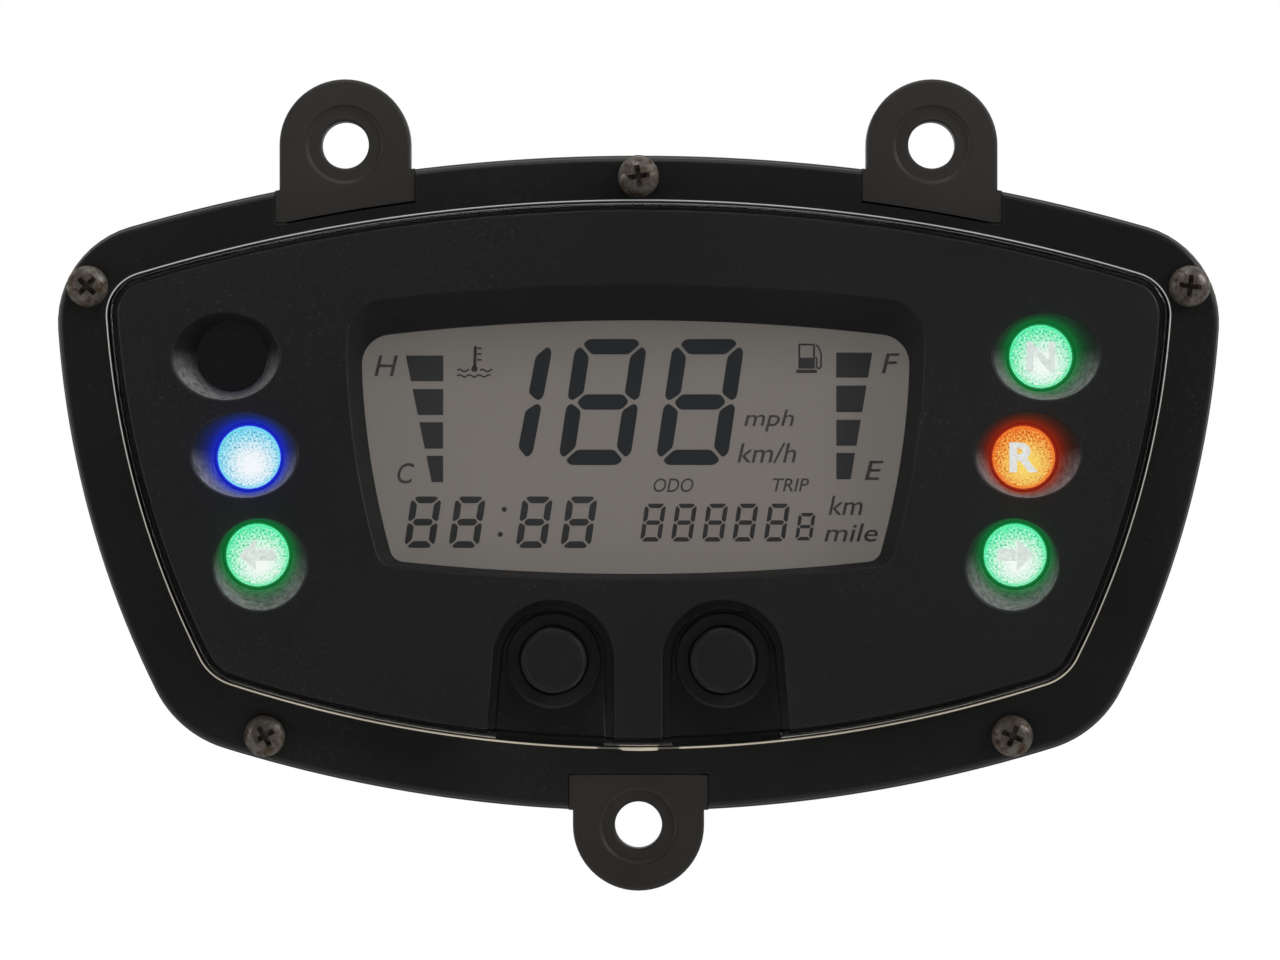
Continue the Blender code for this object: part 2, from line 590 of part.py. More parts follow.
def make_lens():
    """A clear cup with a flange, and a pocket round each button."""
    inner_top = LENS_TOP + LENS_TOP_THICK
    edge = -LENS_LINE - LENS_DRAFT
    lens = loft(
        "clear_lens",
        [
            LENS.at(inner_top, -LENS_INNER - LENS_DRAFT),
            LENS.at(LENS_BACK, -LENS_INNER),
            LENS.at(LENS_BACK, LENS_REACH),
            LENS.at(LENS_REACH_FRONT, LENS_REACH),
            LENS.at(LENS_REACH_FRONT, -LENS_LINE),
            LENS.at(LENS_TOP + LENS_EDGE, edge),
            LENS.at(LENS_TOP + LENS_EDGE_BREAK, edge - LENS_EDGE_BREAK),
            LENS.at(LENS_TOP, edge - LENS_EDGE),
        ],
    )
    within_wall = edge - WALL_EASE
    for side in SIDES:
        depths = (ARCH_UNDERSIDE, inner_top - ARCH_MASS_EASE)
        mass = loft("mass", [arch(side, ARCH_RADIUS + LENS_WALL, y) for y in depths])
        trim(mass, loft("inside", [LENS.at(y, within_wall) for y in (0.0, LENS_TOP - 1)]))
        join(lens, mass)
    for side, place in BUTTONS.items():
        cut(lens, loft("pocket", [arch(side, ARCH_RADIUS, y) for y in (ARCH_FLOOR, LENS_TOP - 2)]))
        cut(lens, rod("hole", place, BOOT_NECK + SEAT_GAP, ARCH_FLOOR - 1, ARCH_UNDERSIDE + 1, ROUND_STEPS))
    return complete(lens, "clear_plastic")


def make_seal():
    """The cord of rubber in the case's groove, under the lens's flange."""
    middle, half = -GROOVE_INSET, GROOVE_WIDTH / 2 - SEAL_GAP
    front, back = LENS_BACK + SEAL_GAP, FLANGE_FRONT + GROOVE_DEPTH - SEAL_GAP
    corners = [(front, middle - half), (front, middle + half), (back, middle + half), (back, middle - half)]
    seal = loft("lens_seal", [LENS.at(y, offset) for y, offset in corners], endless=True)
    return complete(seal, "black_rubber")


# ---- dial mask ----------------------------------------------------------------------------------
def lamp_well(side, row, wall=0.0, front=MASK_FRONT, past=0.0):
    """The space of one lamp's well, or its outside when a wall is given."""
    (x, z), lamp = lamp_place(side, row), LAMPS[row]
    rim_centre = (x + SIDES[side] * lamp["lean"][0], z + lamp["lean"][1])
    rim_size = [half + wall for half in lamp["rim"]]
    loops = [ellipse(rim_centre, *rim_size, front), circle((x, z), WELL_RADIUS + wall, WELL_FLOOR)]
    if past:
        loops.insert(0, ellipse(rim_centre, *rim_size, front - past))
        loops.append(circle((x, z), WELL_RADIUS + wall, WELL_FLOOR + past))
    return loft("well", loops)


def make_mask():
    mask = loft(
        "dial_mask",
        [
            LENS.at(MASK_FRONT + MASK_PLATE, -MASK_FRONT_OUTER - MASK_SKIRT),
            LENS.at(ON_BOARD, -MASK_OUTER - MASK_SKIRT),
            LENS.at(ON_BOARD, -MASK_OUTER),
            LENS.at(MASK_FRONT + MASK_EDGE, -MASK_FRONT_OUTER),
            LENS.at(MASK_FRONT, -MASK_FRONT_OUTER - MASK_EDGE),
        ],
    )
    within_plate = MASK_FRONT + MASK_SINK
    wall = [WINDOW_RIM.at(within_plate, WELL_WALL), WINDOW_BASE.at(WINDOW_FLOOR, WELL_WALL)]
    join(mask, loft("window_wall", wall))
    for side in SIDES:
        for row in LAMPS:
            join(mask, lamp_well(side, row, WELL_WALL, within_plate))
        wall = loft("arch_wall", [arch(side, MASK_ARCH + ARCH_WALL, y) for y in (within_plate, ARCH_WALL_END)])
        inside = -MASK_FRONT_OUTER - ARCH_WALL_EASE
        trim(wall, loft("inside", [LENS.at(y, inside) for y in (0.0, MASK_FRONT - SINK)]))
        join(mask, wall)
    rim, base, past = WINDOW_RIM, WINDOW_BASE, MASK_PAST
    cut(mask, loft("window", [rim.at(MASK_FRONT - past), rim.at(MASK_FRONT), base.at(WINDOW_FLOOR),
                              base.at(WINDOW_FLOOR + past)]))
    for side in SIDES:
        for row in LAMPS:
            cut(mask, lamp_well(side, row, past=past))
        cut(mask, loft("arch", [arch(side, MASK_ARCH, y) for y in (MASK_FRONT - 1, ON_BOARD + 1)]))
    return complete(mask, "mask_plastic")


# ---- display --------------------------------------------------------------------------------------
def make_display():
    middle = (0.0, LCD_Z)
    complete(centred_block("lcd_panel", middle, LCD_WIDTH, LCD_HEIGHT, (LCD_FRONT, LCD_BACK)), "lcd_glass", middle)
    inner = (LCD_WIDTH + 2 * SEAT_GAP, LCD_HEIGHT + 2 * SEAT_GAP)
    outer = [size + 2 * LCD_FRAME_WALL for size in inner]
    frame = centred_block("lcd_frame", middle, *outer, (LCD_FRONT + SEAT_GAP, ON_BOARD))
    cut(frame, centred_block("inside", middle, *inner, (LCD_FRONT - 1, ON_BOARD + 1)))
    complete(frame, "white_plastic", middle)
    depths = (UNDER_GLASS, ON_BOARD)
    guide_height = LCD_HEIGHT - 2 * (STRIP_HEIGHT + 2 * SEAT_GAP)
    complete(centred_block("light_guide", middle, GUIDE_WIDTH, guide_height, depths), "clear_plastic", middle)
    strip_rise = (LCD_HEIGHT - STRIP_HEIGHT) / 2 - SEAT_GAP
    for name, sign in (("upper_contact_strip", 1), ("lower_contact_strip", -1)):
        place = (0.0, LCD_Z + sign * strip_rise)
        complete(centred_block(name, place, GUIDE_WIDTH, STRIP_HEIGHT, depths), "black_rubber", place)
    led_width = GUIDE_MARGIN - 2 * SEAT_GAP
    for side, sign in SIDES.items():
        place = (sign * (GUIDE_WIDTH + led_width + 2 * SEAT_GAP) / 2, LCD_Z)
        led = centred_block(f"{side}_backlight_led", place, led_width, LED_SIZE, (ON_BOARD - LED_HEIGHT, ON_BOARD))
        complete(led, "white_plastic", place)


# ---- lamps ----------------------------------------------------------------------------------------
def make_lamps(side):
    """A coloured disc at the foot of each well, with the light box and LEDs behind the three."""
    places = {row: lamp_place(side, row) for row in LAMPS}
    middle = places["middle"]
    box = rod(f"{side}_light_box", middle, TUBE_OUTER, TUBE_FRONT, ON_BOARD, ROUND_STEPS)
    for row in ("upper", "lower"):
        half = BRIDGE_WIDTH / 2
        ends = [(middle, -half), (middle, half), (places[row], half), (places[row], -half)]
        depths = (TUBE_FRONT + SEAT_GAP, ON_BOARD - SEAT_GAP)
        join(box, loft("bridge", [[(x + aside, y, z) for (x, z), aside in ends] for y in depths]))
        join(box, rod("tube", places[row], TUBE_OUTER, TUBE_FRONT, ON_BOARD, ROUND_STEPS))
    cut(box, *[rod("light", place, TUBE_INNER, TUBE_FRONT - 1, ON_BOARD + 1, ROUND_STEPS)
               for place in places.values()])
    complete(box, "white_plastic", middle)
    for row, place in places.items():
        name = LAMP_NAMES[side, row]
        disc = rod(f"{name}_lamp_disc", place, DISC_RADIUS, DISC_FRONT, DISC_FRONT + DISC_THICK, ROUND_STEPS)
        complete(disc, LAMP_FINISHES[name], place)
        led = centred_block(f"{name}_led", place, LED_SIZE, LED_SIZE, (ON_BOARD - LED_HEIGHT, ON_BOARD))
        complete(led, "white_plastic", place)


# ---- push buttons -----------------------------------------------------------------------------------
def make_button(side):
    """A rubber cap that slides along Y in its boot, and the switch whose stem it presses."""
    place = BUTTONS[side]
    top_radius = CAP_RADIUS - CAP_TAPER
    cap = turned(f"{side}_button_cap", place, [
        (top_radius - CAP_EDGE, CAP_FRONT), (top_radius, CAP_FRONT + CAP_EDGE), (CAP_RADIUS, CAP_SHOULDER),
        (PLUNGER_RADIUS, CAP_SHOULDER), (PLUNGER_RADIUS, PLUNGER_END)])
    complete(cap, "black_rubber", place)
    lip_front = BOOT_LIP_BACK - BOOT_LIP_RISE
    boot_back = BOOT_FOOT_FRONT + BOOT_FOOT_THICK
    boot = turned(f"{side}_button_boot", place, [
        (BOOT_BORE, boot_back), (BOOT_FOOT, boot_back), (BOOT_FOOT, BOOT_FOOT_FRONT),
        (BOOT_NECK, BOOT_FOOT_FRONT), (BOOT_NECK, BOOT_LIP_BACK), (BOOT_LIP, BOOT_LIP_BACK),
        (BOOT_LIP, lip_front + CAP_EDGE), (BOOT_LIP - CAP_EDGE, lip_front), (BOOT_BORE, lip_front)], endless=True)
    complete(boot, "black_rubber", place)
    body = centred_block(f"{side}_switch_body", place, SWITCH_SIZE, SWITCH_SIZE, (SWITCH_FRONT, ON_BOARD))
    stem_back = STEM_FRONT + STEM_LENGTH
    cut(body, rod("guide", place, STEM_RADIUS + SLIDE_GAP, SWITCH_FRONT - 1, stem_back + BUTTON_TRAVEL + SEAT_GAP))
    complete(body, "chip_black", place)
    complete(rod(f"{side}_switch_stem", place, STEM_RADIUS, STEM_FRONT, stem_back), "white_plastic", place)


# ---- board, connector and electronics ----------------------------------------------------------------
def make_board():
    board = loft("circuit_board", [LENS.at(y, -BOARD_OUTER) for y in (BOARD_FRONT, BOARD_BACK)])
    cut(board, *[rod("hole", place, BOARD_BORE, BOARD_FRONT - 1, BOARD_BACK + 1) for place in BOARD_SCREWS.values()])
    complete(board, "board_green")
    place = (CHIP_X, CHIP_Z)
    chip = centred_block("microcontroller", place, CHIP_SIZE, CHIP_SIZE, (BEHIND_BOARD, BEHIND_BOARD + CHIP_HEIGHT))
    complete(chip, "chip_black", place)
    place = REGULATOR["place"]
    depths = (BEHIND_BOARD, BEHIND_BOARD + REGULATOR["thick"])
    regulator = centred_block("voltage_regulator", place, REGULATOR["width"], REGULATOR["height"], depths)
    complete(regulator, "chip_black", place)
    for name, capacitor in CAPACITORS.items():
        place, radius = capacitor["place"], capacitor["radius"]
        back = TUB_FLOOR - capacitor["room"]
        profile = [(radius, BEHIND_BOARD), (radius, back - SEAT_GAP), (radius - SEAT_GAP, back)]
        complete(turned(name, place, profile, SMALL_STEPS), "capacitor_foil", place)


def make_connector():
    """The sealed socket on the board's back, its pins in two rows."""
    middle = (CONNECTOR_X, CONNECTOR_Z)
    shell = centred_block("connector_shell", middle, CONNECTOR_WIDTH, CONNECTOR_HEIGHT, (BEHIND_BOARD, CONNECTOR_END))
    mouth = (CONNECTOR_WIDTH - 2 * CONNECTOR_WALL, CONNECTOR_HEIGHT - 2 * CONNECTOR_WALL)
    cut(shell, centred_block("mouth", middle, *mouth, (CONNECTOR_FLOOR, CONNECTOR_END + 1)))
    columns = [(column - (PIN_COLUMNS - 1) / 2) * PIN_PITCH for column in range(PIN_COLUMNS)]
    places = [(CONNECTOR_X + x, CONNECTOR_Z + z) for z in (PIN_PITCH / 2, -PIN_PITCH / 2) for x in columns]
    hole = PIN_SIZE + 2 * PIN_GAP
    cut(shell, *[centred_block("hole", place, hole, hole, (BEHIND_BOARD - 1, CONNECTOR_FLOOR + 1))
                 for place in places])
    complete(shell, "chip_black", middle)
    for number, (x, z) in enumerate(places, start=1):
        sections = [(PIN_SIZE / 2, BEHIND_BOARD), (PIN_SIZE / 2, PIN_TIP - PIN_POINT), (PIN_SIZE / 4, PIN_TIP)]
        loops = [[(x - h, y, z - h), (x + h, y, z - h), (x + h, y, z + h), (x - h, y, z + h)] for h, y in sections]
        complete(loft(f"connector_pin_{number:02d}", loops), "pin_brass", (x, z))


# ---- screws -----------------------------------------------------------------------------------------------
def make_screw(name, place, size, seat):
    """A pan-head screw with a cross recess, its head's underside at seat."""
    head, rise, shank, end = size["head"], size["rise"], size["shank"], seat + size["length"]
    screw = turned(name, place, [
        (0.45 * head, seat - rise), (0.8 * head, seat - 0.82 * rise), (head, seat - 0.4 * rise), (head, seat),
        (shank, seat), (shank, end - SCREW_POINT), (0.4 * shank, end)], SMALL_STEPS)
    across, front, floor = 2 * size["reach"], seat - rise - 1, seat - 0.25 * rise
    cross = centred_block("slot", place, across, size["slot"], (front, floor))
    join(cross, centred_block("slot", place, size["slot"], across, (front - 0.1, floor)))
    cut(screw, cross)
    return complete(screw, "screw_steel", place)


def make_screws():
    for where, place in CASE_SCREWS.items():
        make_screw(f"{where}_case_screw", place, CASE_SCREW, CASE_SCREW_SEAT)
    for where, place in BOARD_SCREWS.items():
        make_screw(f"{where}_board_screw", place, BOARD_SCREW, ON_BOARD)


def main():
    for obj in list(bpy.data.objects):
        bpy.data.objects.remove(obj)
    make_case()
    make_bezel()
    make_lens()
    make_seal()
    make_mask()
    make_display()
    for side in SIDES:
        make_lamps(side)
        make_button(side)
    make_board()
    make_connector()
    make_screws()


main()
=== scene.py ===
"""Visible pieces, finishes and stage of a motorcycle instrument cluster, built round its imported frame."""

import math

import bmesh
import bpy
import numpy as np
from mathutils import Matrix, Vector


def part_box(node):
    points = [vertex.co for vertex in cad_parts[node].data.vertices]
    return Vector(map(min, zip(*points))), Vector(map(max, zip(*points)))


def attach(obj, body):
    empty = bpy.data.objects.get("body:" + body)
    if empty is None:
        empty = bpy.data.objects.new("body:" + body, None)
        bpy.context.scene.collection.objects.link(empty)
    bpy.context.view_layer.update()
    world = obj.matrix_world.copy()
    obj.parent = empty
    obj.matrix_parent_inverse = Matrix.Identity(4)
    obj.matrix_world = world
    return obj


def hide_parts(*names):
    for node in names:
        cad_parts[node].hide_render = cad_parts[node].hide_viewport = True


bl_info = {
    "name": "Instrument Cluster",
    "version": (1, 0, 0),
    "blender": (4, 5, 0),
    "location": "View3D > Sidebar > Cluster",
    "description": "Builds the visible pieces and finishes of a motorcycle instrument cluster",
    "category": "Object",
}

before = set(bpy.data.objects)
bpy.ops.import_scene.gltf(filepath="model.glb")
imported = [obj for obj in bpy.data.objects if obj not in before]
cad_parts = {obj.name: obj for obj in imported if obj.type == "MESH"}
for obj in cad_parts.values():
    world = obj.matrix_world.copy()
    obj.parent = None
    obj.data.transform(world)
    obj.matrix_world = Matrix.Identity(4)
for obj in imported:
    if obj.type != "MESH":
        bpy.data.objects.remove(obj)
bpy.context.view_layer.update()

MM = 0.001
SIDES = {"left": -1, "right": 1}
LAMPS = {
    "spare": "lamp_dark",
    "high_beam": "lamp_blue",
    "turn_left": "lamp_green",
    "neutral": "lamp_green",
    "reverse": "lamp_red",
    "turn_right": "lamp_green",
}
LAMP_SHIFT = -0.3  # how far a lamp's face lies from its disc's middle along X, in millimetres
WELLS_FROM = 44.0  # the |X| past which the mask has its wells, in millimetres
HOT_REACH = 0.40  # how far a lamp's hot patch reaches, as a share of its width
FINE_BUMP = 0.0001  # height of a fine grain, in metres
DUST = (0.25, 0.24, 0.22, 1.0)
CASE_SCREWS = ["top", "upper_left", "upper_right", "lower_left", "lower_right"]
# Each well's mouth: how far its middle lies from the lamp's, and its half width and half height.
RIM_LEANS = {"spare": (-0.5, -0.1), "high_beam": (-0.3, 0.3), "turn_left": (0.7, -1.3),
             "neutral": (0.5, -0.1), "reverse": (0.3, 0.3), "turn_right": (-0.7, -1.3)}
RIM_SIZES = {"spare": (7.5, 6.1), "high_beam": (7.4, 6.0), "turn_left": (6.5, 6.5),
             "neutral": (7.5, 6.1), "reverse": (7.4, 6.0), "turn_right": (6.5, 6.5)}


def span(node, axis):
    """Lowest and highest value of a node on one axis, in millimetres."""
    low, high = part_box(node)
    return low[axis] / MM, high[axis] / MM


def centre_of(node):
    """A node's middle as (x, z), in millimetres."""
    return sum(span(node, 0)) / 2, sum(span(node, 2)) / 2


def screw_centre(name):
    return centre_of(f"{name}_case_screw")


def lamp_centre(lamp):
    """The middle of a lamp's face as (x, z), which lies a little to the left of its disc's."""
    x, z = centre_of(f"{lamp}_lamp_disc")
    return x + LAMP_SHIFT, z


# ---- depths along Y, some read from the nodes they belong to, in millimetres ---------------------
BEZEL_FRONT, BEZEL_BACK = span("front_bezel", 1)
LENS_TOP, LENS_BACK = span("clear_lens", 1)
MASK_FRONT, MASK_BACK = span("dial_mask", 1)
LCD_FRONT = span("lcd_panel", 1)[0]
DISC_FRONT, DISC_BACK = span("neutral_lamp_disc", 1)
TUB_BACK, COLLAR_BACK, BOSS_BACK = 20.0, 21.5, 9.0
FLANGE_FRONT, FLANGE_BACK = -2.2, -0.4
EAR_FRONT, EAR_BACK = -5.3, 0.0
WELL_FLOOR, WINDOW_FLOOR = -2.9, -4.3
ARCH_FLOOR = -3.75
POCKET_FLOOR, POCKET_UNDERSIDE = BEZEL_FRONT, -4.0
BUTTONS = {side: centre_of(f"{side}_button_cap") for side in SIDES}
BUTTON_X, BUTTON_Z = BUTTONS["right"]
EARS = [(-41.1, 47.65), (41.1, 47.65), (0.0, -47.65)]
EAR_RADIUS = 9.2
ROOT_WIDTH, ROOT_ROOM = 19.6, 0.08  # an ear's root, and its gap to the bezel's notch on each side
WELL_FOOT, BOOT_HOLE, ARCH_RADIUS = 4.9, 6.6, 8.5


# ---- paths and surfaces, in millimetres ----------------------------------------------------------
class ArcPath:
    """A closed path in the XZ plane, made of arcs joined by straight lines.

    Each point is its arc's centre plus (radius + offset) times (cos angle, sin angle), so an
    offset moves the whole path outwards and leaves it as many points as before.
    """

    def __init__(self, arcs):
        columns = [(np.full(steps + 1, x), np.full(steps + 1, z), np.full(steps + 1, radius),
                    np.linspace(first, last, steps + 1)) for x, z, radius, first, last, steps in arcs]
        self.x, self.z, self.radius, self.angle = (np.concatenate(part) for part in zip(*columns))

    def sweep(self, profile):
        """Rings of the path, one for each (offset, depth) of the profile: rings x points x 3."""
        offset, depth = (np.asarray(profile, float)[:, i, None] for i in (0, 1))
        reach = self.radius + offset
        x = self.x + reach * np.cos(self.angle)
        z = self.z + reach * np.sin(self.angle)
        return np.stack([x, np.broadcast_to(depth, x.shape), z], axis=-1)

    def aside(self, distance):
        """The same path, moved sideways."""
        self.x = self.x + distance
        return self


def tangent_centre(first, second, corner):
    """Centre of the corner arc that touches two larger arcs from inside, by the cosine rule."""
    (ax, az, ar), (bx, bz, br) = first, second
    a, b = np.array([ax, az]), np.array([bx, bz])
    apart = np.linalg.norm(b - a)
    unit = (b - a) / apart
    along = ((ar - corner) ** 2 - (br - corner) ** 2 + apart**2) / (2 * apart)
    aside = math.sqrt((ar - corner) ** 2 - along**2) * np.array([-unit[1], unit[0]])
    return max((a + unit * along + side for side in (aside, -aside)), key=lambda point: point[0])


def four_arc_path(top, bottom, side, corners, steps=(24, 12, 20)):
    """A shape of four large arcs and four rounded corners, the same left and right.

    Top and bottom are (height, radius) of arcs centred on X = 0, side is (reach, radius,
    height of its centre), and corners are the upper and lower corner radii.
    """
    top_arc = (0.0, top[0] - top[1], top[1])
    bottom_arc = (0.0, bottom[0] + bottom[1], bottom[1])
    side_arc = (side[0] - side[1], side[2], side[1])
    upper = (*tangent_centre(top_arc, side_arc, corners[0]), corners[0])
    lower = (*tangent_centre(bottom_arc, side_arc, corners[1]), corners[1])

    def bearing(arc, point):
        return math.atan2(point[1] - arc[1], point[0] - arc[0])

    turns = [math.pi / 2, bearing(top_arc, upper), bearing(side_arc, upper), bearing(side_arc, lower),
             bearing(bottom_arc, lower), -math.pi / 2]
    arcs = [top_arc, upper, side_arc, lower, bottom_arc]
    counts = [steps[0], steps[1], steps[2], steps[1], steps[0]]
    right = [(*arc, *turns[i:i + 2], counts[i]) for i, arc in enumerate(arcs)]
    left = [(-x, z, radius, math.pi - last, math.pi - first, count)
            for x, z, radius, first, last, count in reversed(right)]
    return ArcPath(right + left)


def disc_path(centre, radius, steps=64):
    """A circle, which starts half a step round so that no point lies level with its centre."""
    start = math.pi / steps
    return ArcPath([(*centre, radius, start, start + 2 * math.pi * (1 - 1 / steps), steps - 1)])


def rounded_box_path(centre, width, height, corner, steps=6):
    """A rectangle with rounded corners: a quarter arc at each of them."""
    x, z = centre
    across, up = width / 2 - corner, height / 2 - corner
    quarter = math.pi / 2
    turns = [(1, 1, 0), (-1, 1, 1), (-1, -1, 2), (1, -1, 3)]
    return ArcPath([(x + sx * across, z + sz * up, corner, turn * quarter, (turn + 1) * quarter, steps)
                    for sx, sz, turn in turns])


def tongue_path(centre, radius, tail, steps=32):
    """An ear's outline: a half circle away from the case, and straight sides towards it."""
    x, z = centre
    out = 1 if z > 0 else -1
    start = 0.0 if out > 0 else math.pi
    corner = 0.6
    foot = z - out * tail
    ends = [(x - out * (radius - corner), foot, corner, start + math.pi, start + 1.5 * math.pi, 4),
            (x + out * (radius - corner), foot, corner, start + 1.5 * math.pi, start + 2 * math.pi, 4)]
    return ArcPath([(x, z, radius, start, start + math.pi, steps), *ends])


def arch_path(side, radius, flare=1.1, reach=20.0):
    """An arch over a button: half round above, straight inside, flared outside, open below."""
    foot = -37.0 - reach
    spread = flare * (BUTTON_Z - foot) / 12.5
    inner, outer = BUTTON_X - radius, BUTTON_X + radius + spread
    left, right = (inner, outer) if side == "right" else (-outer, -inner)
    return ArcPath([(SIDES[side] * BUTTON_X, BUTTON_Z, radius, 0.0, math.pi, 32),
                    (left, foot, 0.0, math.pi, math.pi, 0), (right, foot, 0.0, 0.0, 0.0, 0)])


FLANGE = four_arc_path((46.3, 260.0), (-45.8, 196.6), (81.9, 135.2, 31.2), (14.0, 15.9))
LENS = four_arc_path((40.0, 244.0), (-37.0, 186.0), (74.6, 126.3, 32.2), (6.2, 7.3))
WINDOW_RIM = four_arc_path((27.8, 300.0), (-13.1, 320.0), (40.1, 112.0, 20.6), (5.5, 2.8)).aside(-0.4)
WINDOW_BASE = four_arc_path((23.0, 300.0), (-12.4, 320.0), (38.4, 112.0, 20.6), (4.2, 2.1)).aside(-0.4)


def soften(corners, rounding, steps=4, closed=False):
    """Rounds the corners of a profile, given as (offset, depth) or (x, z) pairs.

    A corner P becomes the curve (1 - u)^2 S + 2 u (1 - u) P + u^2 E for u from 0 to 1, whose
    ends S and E lie the rounding before and after P, or just under half a side if that is less.
    """
    points = np.asarray(corners, float)
    amount = np.array(np.broadcast_to(rounding, len(points)), float)
    if not closed:
        amount[[0, -1]] = 0.0
    ends = []
    for shift in (1, -1):
        aside = np.roll(points, shift, axis=0) - points
        length = np.maximum(np.linalg.norm(aside, axis=1), 1e-9)
        ends.append(points + aside * np.minimum(amount / length, 0.49)[:, None])
    u = np.linspace(0.0, 1.0, steps + 1)[None, :, None]
    start, end = ends[0][:, None], ends[1][:, None]
    return ((1 - u) ** 2 * start + 2 * u * (1 - u) * points[:, None] + u**2 * end).reshape(-1, 2)


def new_object(name, points, faces):
    """An object from an array of points and a list of faces, merged and facing outwards."""
    mesh = bpy.data.meshes.new(name)
    mesh.from_pydata(np.asarray(points).reshape(-1, 3).tolist(), [], faces)
    bm = bmesh.new()
    bm.from_mesh(mesh)
    bmesh.ops.remove_doubles(bm, verts=bm.verts, dist=0.002)
    bmesh.ops.recalc_face_normals(bm, faces=bm.faces)
    bm.to_mesh(mesh)
    bm.free()
    obj = bpy.data.objects.new(name, mesh)
    bpy.context.scene.collection.objects.link(obj)
    return obj


def skin(name, rings, endless=False):
    """A closed surface through rings of equally many points.

    Point (i, j) is joined to (i + 1, j) and (i, j + 1), with j wrapping round. The first and
    last rings are filled, or joined to each other if the surface is endless.
    """
    count, points = rings.shape[:2]
    i, j = np.indices((count if endless else count - 1, points))
    onward, beside = (i + 1) % count, (j + 1) % points
    corners = [i * points + j, i * points + beside, onward * points + beside, onward * points + j]
    faces = np.stack(corners, axis=-1).reshape(-1, 4).tolist()
    if not endless:
        faces += [list(range(points)), list(range((count - 1) * points, count * points))]
    return new_object(name, rings, faces)


def swept(name, path, profile, rounding=0.0, endless=False, steps=4):
    """A profile of (offset, depth) pairs carried round a path, with its corners rounded."""
    return skin(name, path.sweep(soften(profile, rounding, steps, closed=endless)), endless)


def straight(name, path, first, last, offset=0.0):
    """A path carried straight from one depth to another."""
    return swept(name, path, [(offset, first), (offset, last)])


def combine(target, operation, *tools):
    """Joins, cuts or trims target with the tools, which it uses up."""
    for tool in tools:
        modifier = target.modifiers.new(operation, "BOOLEAN")
        modifier.operation = operation
        modifier.object = tool
    graph = bpy.context.evaluated_depsgraph_get()
    target.data = bpy.data.meshes.new_from_object(target.evaluated_get(graph))
    target.modifiers.clear()
    for tool in tools:
        bpy.data.objects.remove(tool)
    return target


def merged(name, *parts):
    """One object from several separate ones, which it uses up."""
    bm = bmesh.new()
    for part in parts:
        bm.from_mesh(part.data)
        bpy.data.objects.remove(part)
    mesh = bpy.data.meshes.new(name)
    bm.to_mesh(mesh)
    bm.free()
    obj = bpy.data.objects.new(name, mesh)
    bpy.context.scene.collection.objects.link(obj)
    return obj


def place(obj, material, body="housing", nodes=(), angle=35.0):
    """Finishes a piece: metres, material, smooth shading, and the body and nodes it belongs to."""
    obj.data.transform(Matrix.Scale(MM, 4))
    obj.data.materials.clear()
    obj.data.materials.append(finish(material))
    obj.data.shade_smooth()
    obj.data.set_sharp_from_angle(angle=math.radians(angle))
    shading = obj.modifiers.new("even shading", "WEIGHTED_NORMAL")
    shading.keep_sharp = True
    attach(obj, body)
    if nodes:
        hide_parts(*nodes)
    return obj


